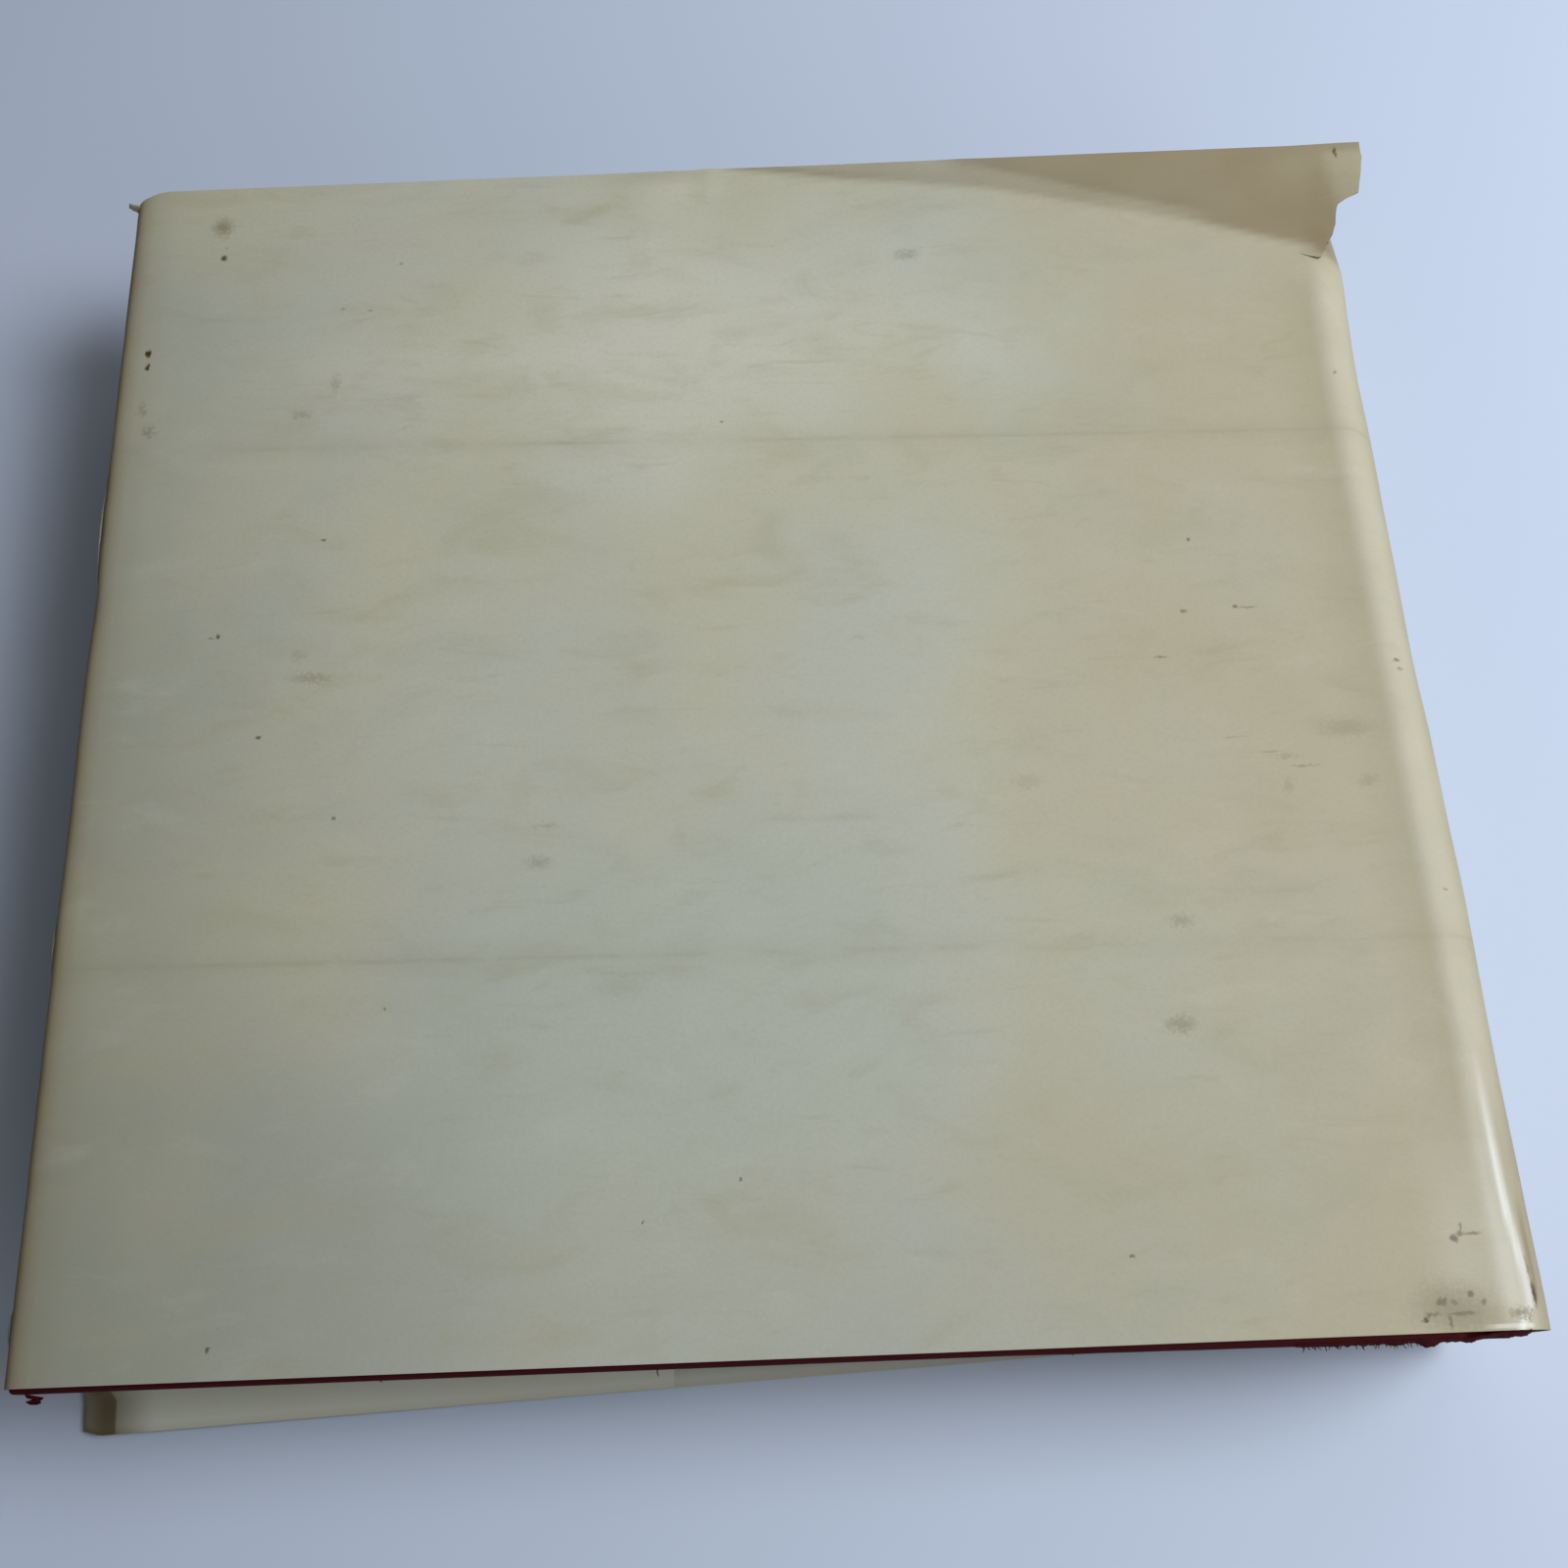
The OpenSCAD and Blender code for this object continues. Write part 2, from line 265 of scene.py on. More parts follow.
# Small dark marks on the back panel: x, y, half width, half height, strength
DARK_MARKS = [
    (22.2, 265.6, 0.75, 0.85, 0.85), (22.6, 268.6, 0.3, 0.5, 0.35), (6.0, 238.1, 0.7, 1.15, 1.0),
    (6.1, 234.2, 0.55, 1.1, 0.95), (52.4, 248.8, 0.7, 0.3, 0.4), (59.1, 248.2, 0.6, 0.25, 0.35),
    (66.3, 261.6, 0.6, 0.45, 0.35), (51.2, 184.3, 0.4, 0.45, 0.6), (28.6, 160.4, 0.5, 0.7, 0.75),
    (27.0, 160.2, 0.7, 0.3, 0.3), (39.3, 135.4, 0.5, 0.5, 0.7), (56.7, 115.7, 0.35, 0.45, 0.55),
    (69.5, 73.0, 0.35, 0.35, 0.55), (38.0, 7.2, 0.5, 0.55, 0.7), (122.0, 27.9, 0.4, 0.35, 0.6),
    (141.2, 35.7, 0.4, 0.35, 0.6), (216.5, 17.9, 0.45, 0.35, 0.6), (248.5, 175.6, 0.4, 0.4, 0.55),
    (143.4, 212.1, 0.45, 0.35, 0.55), (288.8, 218.7, 0.4, 0.6, 0.45), (291.2, 90.0, 0.7, 0.3, 0.4),
    (245.0, 157.4, 0.75, 0.55, 0.5), (256.7, 158.1, 0.6, 0.42, 0.55), (259.4, 157.7, 1.9, 0.22, 0.4),
    (238.6, 146.2, 1.5, 0.24, 0.5), (290.4, 143.3, 1.0, 0.34, 0.6), (291.0, 141.4, 1.0, 0.3, 0.4),
    (270.9, 3.9, 0.7, 0.6, 0.8), (271.8, 4.7, 0.5, 0.4, 0.6), (272.4, 5.0, 1.6, 0.35, 0.4),
    (274.6, 7.2, 0.9, 0.75, 0.5),
    (280.4, 8.4, 0.6, 0.55, 0.6), (277.0, 7.0, 0.6, 0.6, 0.35), (282.4, 6.8, 0.55, 0.5, 0.5),
    (275.6, 3.4, 0.35, 1.5, 0.45), (278.0, 4.9, 2.6, 0.35, 0.4), (279.1, 18.9, 0.9, 0.65, 0.66),
    (280.3, 19.8, 0.65, 0.6, 0.55), (280.8, 21.0, 0.3, 0.75, 0.5), (282.6, 19.7, 1.9, 0.3, 0.5),
    (293.4, 8.2, 0.75, 2.4, 0.9), (293.0, 13.0, 0.35, 2.6, 0.5),
    (299.6, 284.2, 0.45, 1.5, 0.8), (266.0, 119.0, 3.6, 0.18, 0.3), (259.0, 122.6, 2.6, 0.16, 0.25),
    (252.0, 126.4, 2.8, 0.16, 0.2),
]
# Faint wide smudges, in the same order
SOFT_MARKS = [
    (21.5, 275.0, 2.8, 3.0, 0.42), (5.8, 222.2, 1.0, 2.0, 0.3), (8.0, 215.6, 1.6, 1.8, 0.34),
    (44.1, 218.7, 2.6, 1.2, 0.24), (51.8, 227.2, 1.2, 3.0, 0.2), (190.4, 257.9, 3.2, 1.8, 0.24),
    (50.2, 149.4, 5.0, 1.3, 0.26), (47.0, 155.0, 2.0, 1.4, 0.14), (101.0, 103.8, 3.2, 1.6, 0.2),
    (103.0, 112.0, 4.0, 0.6, 0.16), (234.9, 85.2, 2.8, 1.6, 0.24), (232.0, 63.3, 3.4, 1.9, 0.3),
    (277.0, 6.0, 8.5, 5.0, 0.34), (290.0, 4.6, 2.8, 1.4, 0.5), (276.0, 127.5, 6.5, 2.2, 0.2),
    (262.5, 121.5, 3.4, 0.5, 0.2), (262.0, 114.5, 1.2, 2.0, 0.14), (279.0, 115.0, 2.4, 1.6, 0.16),
    (206.0, 118.0, 3.5, 2.0, 0.12), (172.0, 154.2, 2.4, 0.5, 0.12), (118.0, 76.0, 6.0, 3.0, 0.1),
]


def mark_mask(f, at, marks, hard):
    """Strength of the nearest of the marks, as an uneven spot with soft edges."""
    found = 0.0
    for x, y, half_w, half_h, strength in marks:
        near = f.node("ShaderNodeMapping", inputs={
            "Vector": at,
            "Location": (-x / half_w, -y / half_h, -TOTAL_T / 4),
            "Scale": (1 / half_w, 1 / half_h, 1 / 4),
        })
        far = f.node("ShaderNodeVectorMath", {"operation": "LENGTH"}, {0: near}, output="Value")
        spot = f.node("ShaderNodeMapRange", {"interpolation_type": "SMOOTHSTEP"}, {
            "Value": far, "From Min": 1.45, "From Max": hard, "To Min": 0.0, "To Max": strength})
        found = spot.highest(found)
    return found


def jacket_paper():
    """Ivory paper, toned and polished by wear, with two long faint creases, and with painted shade and
    painted highlights in its colour.
    """
    f = Finish("worn_jacket_paper", Specular_IOR_Level=0.27)
    at = f.where()
    x, y, z = f.axis(at, "X"), f.axis(at, "Y"), f.axis(at, "Z")
    upper = f.rise(z, MID_Z + 8, MID_Z + 16)
    cloudy = f.noise(at, 60, 3, 0.55)
    patchy = f.noise(f.where((0.55, 1.2, 1)), 15, 4, 0.6, 0.6)
    grain = f.noise(at, 0.9, 4, 0.65)
    fibre = f.noise(f.where((1, 2.6, 1)), 1.6, 3, 0.6)
    streaky = f.noise(f.where((0.32, 1.2, 1)), 6, 4, 0.62, 0.8)

    ivory = f.mix(f.rise(cloudy, 0.36, 0.66), tint(172, 175, 163), tint(176, 175, 157))
    # Painted shade: the panel is mixed darker and cooler towards the tail and around its lower middle,
    # where the light falls off.
    tail = 1 - f.rise(y + (cloudy - 0.5) * 60, -15, 130)
    ivory = f.mix(tail * 0.55, ivory, tint(150, 155, 149))
    cool_painted_shade = 1 - f.rise((x - 128).size() + (y - 62).size() * 0.9 + (cloudy - 0.5) * 70, 20, 95)
    ivory = f.mix(cool_painted_shade * 0.6, ivory, tint(166, 174, 164))
    warm = f.rise(x + (cloudy - 0.5) * 110 + (0.5 - patchy) * 40, 175, 285)
    ivory = f.mix(warm * 0.85, ivory, tint(163, 156, 130))
    # Painted shade: the fore-edge side of the panel is mixed darker, where the light falls off away from
    # the window.
    cloth_fading_and_paper_shade = (1 - f.rise(x + (cloudy - 0.5) * 60 + y * 0.2, -20, 115)) * upper
    ivory = f.mix(cloth_fading_and_paper_shade * 0.8, ivory, tint(124, 127, 113))
    pale = 1 - f.rise((x - 130).size() * 0.6 + (y - 232).size() + (cloudy - 0.5) * 50, 5, 70)
    ivory = f.mix(pale * 0.75 * upper, ivory, tint(192, 193, 179))
    ivory = f.mix(f.rise(patchy, 0.48, 0.78) * 0.42, ivory, tint(154, 152, 128))
    ivory = f.mix(f.rise(streaky, 0.54, 0.78) * 0.26, ivory, tint(144, 140, 112))
    ivory = f.mix((1 - f.rise(patchy, 0.26, 0.46)) * 0.18, ivory, tint(184, 186, 174))
    ivory = f.mix(f.rise(grain, 0.35, 0.75) * 0.14, ivory, tint(138, 137, 118))

    # Painted light: the lower, front half of the jacket, which lies in the book's shadow, is mixed paler,
    # fading out towards the spine.
    front_half_painted_light = (1 - upper) * (1 - f.rise(x, 190, 262))
    ivory = f.mix(front_half_painted_light * 0.62, ivory, tint(206, 210, 200))
    # Browning from the painted attribute, which also carries painted shade on folds, slopes and under the
    # book.
    toning_and_shade = f.painted("toning_and_shade")
    ivory = f.mix(toning_and_shade, ivory, tint(116, 100, 72))
    # Polish and painted highlight: where polished, the paper is mixed paler and whiter along the ridge,
    # the bend and the tail corner.
    rubbing_and_sheen = f.painted("rubbing_and_sheen")
    ivory = f.mix(rubbing_and_sheen * 0.8, ivory, tint(205, 207, 204))
    # Painted highlight: a thin pale line along the tail edge near the spine, where the leaning edge
    # catches the light.
    tail_lip_highlight = (1 - f.rise((y - 2.5 + patchy * 0.5).size(), 0.2, 0.6)) * f.rise(x, 281, 285) * upper
    ivory = f.mix(tail_lip_highlight * (1 - f.rise(x, 291, 292.5)) * 0.6, ivory, tint(214, 213, 204))

    ragged = f.node("ShaderNodeTexNoise", inputs={"Vector": at, "Scale": 1.1, "Detail": 3.0},
                    output="Color")
    ragged = f.node("ShaderNodeVectorMath", {"operation": "SUBTRACT"}, {0: ragged, 1: (0.5, 0.5, 0.5)})
    spread = f.node("ShaderNodeVectorMath", {"operation": "MULTIPLY_ADD"},
                    {0: ragged, 1: (1.5, 1.5, 1.5), 2: at})
    wide = f.node("ShaderNodeVectorMath", {"operation": "MULTIPLY_ADD"},
                  {0: ragged, 1: (5.0, 5.0, 5.0), 2: at})
    smudges = mark_mask(f, wide, SOFT_MARKS, 0.1)
    ivory = f.mix(smudges * 1.35, ivory, tint(104, 94, 64))
    marks = mark_mask(f, spread, DARK_MARKS, 0.45)
    ivory = f.mix(marks, ivory, tint(60, 48, 8))

    first, second = ((y - height + x * fall).size() for height, fall in CREASES)
    crease = first.lowest(second)
    # Painted shade along the two creases: a broken darker line and a wider darker band beside it.
    broken = f.rise(patchy, 0.38, 0.6) * upper
    line = (1 - f.rise(crease + (patchy - 0.5) * 3.0, 0.1, 1.2)) * broken
    ivory = f.mix(line * 0.2, ivory, tint(128, 124, 98))
    under = (1 - f.rise(crease + (cloudy - 0.5) * 6, 0.3, 5.0)) * upper
    f.colour(f.mix(under * 0.1, ivory, tint(136, 134, 112)))
    f.roughness(f.between(patchy, 0.52, 0.66) - rubbing_and_sheen * 0.24)
    f.relief(fibre * 0.5 + grain * 0.25 + patchy * 1.4, 0.16, 0.55)
    return f.material


def cover_cloth(name, dark, light):
    """Plain woven book cloth: threads one over, one under, about two to a millimetre."""
    f = Finish(name, Specular_IOR_Level=0.12, Roughness=0.8)
    at = f.where()
    warped = f.noise(at, 9, 2, 0.5)
    x = f.axis(at, "X") + warped * 0.5
    y = f.axis(at, "Y") + warped * 0.5
    z = f.axis(at, "Z")
    over = f.node("ShaderNodeMath", {"operation": "SINE"}, {0: (x + z) * 12.6})
    under = f.node("ShaderNodeMath", {"operation": "SINE"}, {0: (y + z) * 12.6})
    weave = over * under
    slub = f.noise(f.where((1, 6, 1)), 5, 3, 0.6)
    cloth_fading_and_paper_shade = f.noise(at, 22, 4, 0.65)
    red = f.mix(f.rise(weave, -0.8, 0.8), dark, light)
    red = f.mix(f.rise(slub, 0.5, 0.75) * 0.4, red, dark)
    f.colour(f.mix(f.rise(cloth_fading_and_paper_shade, 0.55, 0.85) * 0.25, red, light))
    f.roughness(f.between(weave, 0.72, 0.8))
    f.relief(weave * 0.5 + slub * 0.6, 0.12, 0.7)
    return f.material


def leaf_paper():
    """Edges of the leaves as fine lines, with plain paper where a leaf lies flat."""
    f = Finish("leaf_paper", Specular_IOR_Level=0.3, Roughness=0.8)
    facing = f.node("ShaderNodeTexCoord", output="Normal")
    edge = 1 - f.rise(f.axis(facing, "Z").size(), 0.75, 0.97)
    stack = 0.5 + (f.noise(f.where((0.02, 0.02, 7.0)), 1.0, 3, 0.7) - 0.5) * edge
    groups = f.noise(f.where((0.01, 0.01, 1.3)), 1.0, 2, 0.5) * edge
    cloudy = f.noise(f.where(), 30, 3, 0.6)
    grain = f.noise(f.where(), 0.7, 3, 0.6)
    paper = f.mix(f.rise(stack, 0.3, 0.7), tint(168, 158, 128), tint(218, 211, 188))
    paper = f.mix(f.rise(groups, 0.45, 0.75) * 0.35, paper, tint(172, 158, 124))
    f.colour(f.mix(f.rise(cloudy, 0.5, 0.8) * 0.16, paper, tint(190, 176, 140)))
    f.roughness(f.between(grain, 0.74, 0.86))
    f.relief(stack * 1.2 + grain * 0.15, 0.18, 0.8)
    return f.material


def plain_paper(name, light, dark, grain_size):
    """Uncoated paper with a soft mottle and short fibres."""
    f = Finish(name, Specular_IOR_Level=0.3, Roughness=0.78)
    cloudy = f.noise(f.where(), 35, 3, 0.55)
    grain = f.noise(f.where((1, 2.2, 1)), grain_size, 4, 0.65)
    foxing = f.noise(f.where(), 6, 5, 0.7, 0.8)
    paper = f.mix(f.rise(cloudy, 0.3, 0.8) * 0.35, light, dark)
    paper = f.mix(f.rise(grain, 0.45, 0.8) * 0.2, paper, dark)
    f.colour(f.mix(f.rise(foxing, 0.68, 0.82) * 0.3, paper, tint(150, 112, 66)))
    f.roughness(f.between(grain, 0.72, 0.84))
    f.relief(grain, 0.08, 0.5)
    return f.material


def grey_board():
    """Pulp board with a felted face and fine layers at its edges."""
    f = Finish("pulp_board", Specular_IOR_Level=0.25, Roughness=0.85)
    layers = f.noise(f.where((0.1, 0.1, 5.0)), 1.0, 3, 0.6)
    felt = f.noise(f.where(), 0.8, 4, 0.7)
    flecks = f.noise(f.where(), 2.2, 2, 0.5)
    pulp = f.mix(f.rise(layers, 0.35, 0.7), tint(132, 116, 88), tint(160, 144, 112))
    f.colour(f.mix(f.rise(flecks, 0.64, 0.72) * 0.5, pulp, tint(96, 82, 60)))
    f.roughness(f.between(felt, 0.8, 0.92))
    f.relief(felt * 0.6 + layers * 0.6, 0.1, 0.7)
    return f.material


def open_weave(name, dark, light, pitch, height):
    """Cloth of separate threads that cross, as mull and linen tape have."""
    f = Finish(name, Specular_IOR_Level=0.25, Roughness=0.85)
    at = f.where()
    turns = 2 * math.pi / pitch
    drift = f.noise(at, 7, 2, 0.5)
    y = f.axis(at, "Y") + drift * pitch
    z = f.axis(at, "Z") + drift * pitch
    over = f.node("ShaderNodeMath", {"operation": "SINE"}, {0: y * turns})
    under = f.node("ShaderNodeMath", {"operation": "SINE"}, {0: z * turns})
    weave = over.highest(under)
    fuzz = f.noise(at, pitch * 0.5, 3, 0.6)
    f.colour(f.mix(f.rise(weave, -0.2, 0.9), dark, light))
    f.roughness(f.between(fuzz, 0.78, 0.92))
    f.relief(weave + fuzz * 0.4, height, 0.8)
    return f.material


def sewing_thread():
    """Waxed linen thread, twisted."""
    f = Finish("waxed_thread", Specular_IOR_Level=0.4, Roughness=0.55)
    at = f.where()
    lay = f.node("ShaderNodeMath", {"operation": "SINE"},
                 {0: (f.axis(at, "Z") * 1.0 + f.axis(at, "Y") * 2.0) * 9.0})
    fuzz = f.noise(at, 0.3, 2, 0.5)
    f.colour(f.mix(f.rise(lay, -0.8, 0.8), tint(176, 160, 124), tint(222, 211, 184)))
    f.roughness(f.between(fuzz, 0.5, 0.65))
    f.relief(lay + fuzz * 0.5, 0.1, 0.8)
    return f.material


def headband_silk():
    """Silk wound over a core, in turns of red and cream."""
    f = Finish("headband_silk", Specular_IOR_Level=0.5, Sheen_Weight=0.2, Roughness=0.45)
    wrap = f.painted("wrap")
    fuzz = f.noise(f.where((1, 1, 3)), 0.25, 2, 0.5)
    band = f.rise(f.node("ShaderNodeMath", {"operation": "SINE"}, {0: wrap * math.pi}), -0.12, 0.12)
    silk = f.mix(band, tint(120, 14, 20), tint(214, 200, 166))
    f.colour(f.mix(f.rise(fuzz, 0.4, 0.8) * 0.25, silk, tint(90, 60, 40)))
    f.roughness(f.between(fuzz, 0.38, 0.55))
    f.relief(fuzz, 0.05, 0.6)
    return f.material


ROOM = tint(190, 201, 219)


def table_top():
    """Pale laminate with a faint haze, which runs out into the backdrop far from the book."""
    f = Finish("table_top", Specular_IOR_Level=0.2, Roughness=0.6)
    at = f.node("ShaderNodeTexCoord", output="Object")
    haze = f.noise(at, 0.4, 3, 0.5)
    f.colour(f.mix(f.rise(haze, 0.3, 0.7), tint(178, 191, 213), tint(181, 193, 214)))
    f.roughness(f.between(haze, 0.55, 0.65))
    far = f.node("ShaderNodeVectorMath", {"operation": "LENGTH"}, {0: at}, output="Value")
    seen = f.node("ShaderNodeLightPath", output="Is Camera Ray")
    glow = f.node("ShaderNodeEmission", inputs={"Color": ROOM, "Strength": 1.0})
    both = f.node("ShaderNodeMixShader", inputs={
        0: f.rise(far, 0.33, 0.62) * seen, 1: Wire(f, f.shader.outputs[0]), 2: glow})
    f.tree.links.new(both.socket, f.tree.nodes["Material Output"].inputs["Surface"])
    return f.material


# ---- Mesh helpers ----


def finish_piece(bm, name, material, stand_for=()):
    """Turns a mesh in book millimetres into a piece in the frame, with sharp edges kept sharp."""
    bm.normal_update()
    for face in bm.faces:
        face.smooth = True
    for edge in bm.edges:
        if len(edge.link_faces) == 2 and edge.calc_face_angle(0) > math.radians(40):
            edge.smooth = False
    to_frame = Matrix.Translation((CORNER.x, CORNER.y, 0)) @ Matrix.Scale(0.001, 4)
    bmesh.ops.transform(bm, matrix=to_frame, verts=bm.verts)
    mesh = bpy.data.meshes.new(name)
    bm.to_mesh(mesh)
    bm.free()
    mesh.materials.append(material)
    piece = bpy.data.objects.new(name, mesh)
    bpy.context.scene.collection.objects.link(piece)
    if stand_for:
        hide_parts(*stand_for)
    return piece


def thicken(bm, thickness):
    """Gives an open sheet its thickness, half to each side."""
    bm.normal_update()
    moves = [(v, v.normal * (thickness / 2)) for v in bm.verts]
    for v, move in moves:
        v.co += move
    bmesh.ops.solidify(bm, geom=bm.faces[:], thickness=thickness)


def net(across, up):
    """Flat net of cells whose corners lie at the values of the two lists."""
    bm = bmesh.new()
    bmesh.ops.create_grid(bm, x_segments=len(across) - 1, y_segments=len(up) - 1, size=0.5)
    for v in bm.verts:
        v.co.x = across[round((v.co.x + 0.5) * (len(across) - 1))]
        v.co.y = up[round((v.co.y + 0.5) * (len(up) - 1))]
    return bm


# ---- Jacket ----

ROWS = 168
JACKET_ROWS = steps(JACKET_Y0, JACKET_Y1, ROWS) + [JACKET_Y1]
TEAR_ROW = min(JACKET_ROWS, key=lambda y: abs(y - TEAR_Y))

# Line along which the panel buckles, and a second one above it
BUCKLE = [(145, 287.5), (174, 281.5), (210, 275), (234, 268.2), (258, 262.4), (286, 253.2), (292, 249.6)]
FOLDLET = [(201, 287), (225, 278), (246, 270), (262.4, 265.4)]

# Sharp fold between the panel and the spine, along the sheet
RIDGE_S = 290.0

# Edge of the torn corner
TEAR = [(TEAR_Y, TEAR_X), (254.6, 291.2), (258.8, 294.0), (266.6, 297.0), (268.9, 299.8),
        (269.7, 302.6), (281.5, 305.9), (287.1, 306.1)]


def buckle(x, y):
    """Height by which the panel has lifted off the cover near the head of the spine."""
    crest_y = along(BUCKLE, x)
    height = 0.7 * ramp(140, 158, x) + 2.9 * ramp(150, 235, x)
    if y >= crest_y:
        down = min(1.0, (y - crest_y) / max(JACKET_Y1 - crest_y, 1))
        lift = height * (0.06 + 0.94 * (1 - down) ** 1.5)
    else:
        lift = height * math.exp(-(((crest_y - y) / 19) ** 1.3))
    above = y - along(FOLDLET, x)
    lift += 0.5 * math.exp(-((above / 2.4) ** 2)) * ramp(198, 214, x) * (1 - ramp(256, 268, x))
    return lift


def panel_relief(x, y):
    """Height of the back panel's paper over its flat, in millimetres."""
    lift = buckle(x, y)
    lift += 0.28 * (0.5 + 0.5 * rough(x, y, 70, 3.0)) * ramp(0, 20, x)
    lift += 0.1 * (0.5 + 0.5 * rough(x, y, 18, 8.0))
    for height, fall in CREASES:
        off = y - (height - fall * x)
        lift += 0.16 * math.exp(-abs(off) / 5.0)
    lift += 0.75 * math.exp(-((x - 129) / 11) ** 2 - ((y - 281.5) / 4) ** 2)
    lift += 0.4 * math.exp(-((x - 142.5) / 2.2) ** 2) * ramp(274, 285, y)
    lift += 0.4 * math.exp(-((x - 289) / 3.0) ** 2) * (1 - ramp(236, 250, y)) * ramp(30, 60, y)
    return lift


def ridge_line(y):
    """Place along the sheet of the sharp fold between panel and spine."""
    return RIDGE_S + 1.6 * ramp(30, 8, y) - 3.0 * ramp(6, 1.5, y)


def spine_ridge(s, y):
    """Sharp fold of the paper where the panel meets the spine near the tail."""
    return 0.5 * ramp(64, 22, y) * math.exp(-((s - ridge_line(y)) / 1.2) ** 2)


def back_line(s):
    """Point and outward direction on the jacket's back half, s millimetres along the sheet."""
    if s > BEND_X + BEND_LEN:
        return BEND_X + BEND_R, BEND_Z - (s - BEND_X - BEND_LEN), 1.0, 0.0
    if s > BEND_X:
        a = (s - BEND_X) / BEND_R
        return BEND_X + BEND_R * math.sin(a), BEND_Z + BEND_R * math.cos(a), math.sin(a), math.cos(a)
    if s > FOLD_TURN:
        return s, PAPER_Z, 0.0, 1.0
    if s > FOLD_TURN - FOLD_LEN:
        a = math.pi * (FOLD_TURN - s) / FOLD_LEN
        wide = abs(math.sin(a)) ** 0.75
        high = math.copysign(abs(math.cos(a)) ** 0.75, math.cos(a))
        return (FOLD_TURN - FOLD_REACH * wide, PAPER_Z - FOLD_HALF_T * (1 - high),
                -math.sin(a), math.cos(a))
    return FOLD_TURN + (FOLD_TURN - FOLD_LEN - s), FLAP_Z, 0.0, -1.0


def fore_edge_pull(y):
    """Distance by which the fold is pressed in towards the cover, in millimetres."""
    pulled = 0.45 * math.exp(-((y - 172) / 9) ** 2)
    return pulled + 0.18 * rough(0, y, 22, 5.0) + 0.1 * rough(0, y, 6, 1.0)


def back_point(s, y):
    """Point on the jacket's back half, with its lifts, ridge and rounded head corner."""
    x, z, out_x, out_z = back_line(s)
    lift = panel_relief(min(s, 300), y) * ramp(-1, 8, s) * (1 - ramp(288, 303, s))
    lift += spine_ridge(s, y)
    if s > BEND_X:
        lift += 0.5 * rough(s, y, 26, 12.0) * ramp(288, 300, s)
    x += out_x * lift
    z += out_z * lift
    corner = (1 - ramp(-2, 7, s)) * ramp(-10, -6, s)
    y -= 3.4 * corner ** 1.5 * ramp(JACKET_Y1 - 10, JACKET_Y1, y)
    if s < 6:
        x += fore_edge_pull(y) * (1 - ramp(0, 6, s)) * ramp(-9, -5, s)
    return Vector((x, y, z))


def torn_point(s, y):
    """Point on the torn corner, which stands straight out from the panel."""
    out = ramp(284, 306, s)
    lift = panel_relief(s, y) + 0.9 * out + 0.5 * out * math.sin((y - 250) / 7)
    lap = (1 - ramp(TEAR_ROW, TEAR_ROW + 4, y)) * ramp(283.5, 288, s)
    over = (1 - ramp(TEAR_ROW + 4, TEAR_ROW + 13, y)) * ramp(282, 288, s)
    return Vector((s + 1.1 * over, y - 1.8 * lap, PAPER_Z + lift + 0.27 * lap))


def tear_shift(s, y):
    """Stretches the net so that one of its lines follows the tear."""
    jag = 0.35 * rough(y, 0, 2.3, 2.0) + 0.25 * rough(y, 0, 0.9, 7.0) if y > TEAR_Y else 0.0
    edge = along(TEAR, y) + jag if y > TEAR_Y else TEAR_X
    if s <= STRIP_X:
        return s
    if s <= TEAR_X:
        return STRIP_X + (s - STRIP_X) * (edge - STRIP_X) / (TEAR_X - STRIP_X)
    return edge + (s - TEAR_X) * (SHEET_END - edge) / (SHEET_END - TEAR_X)


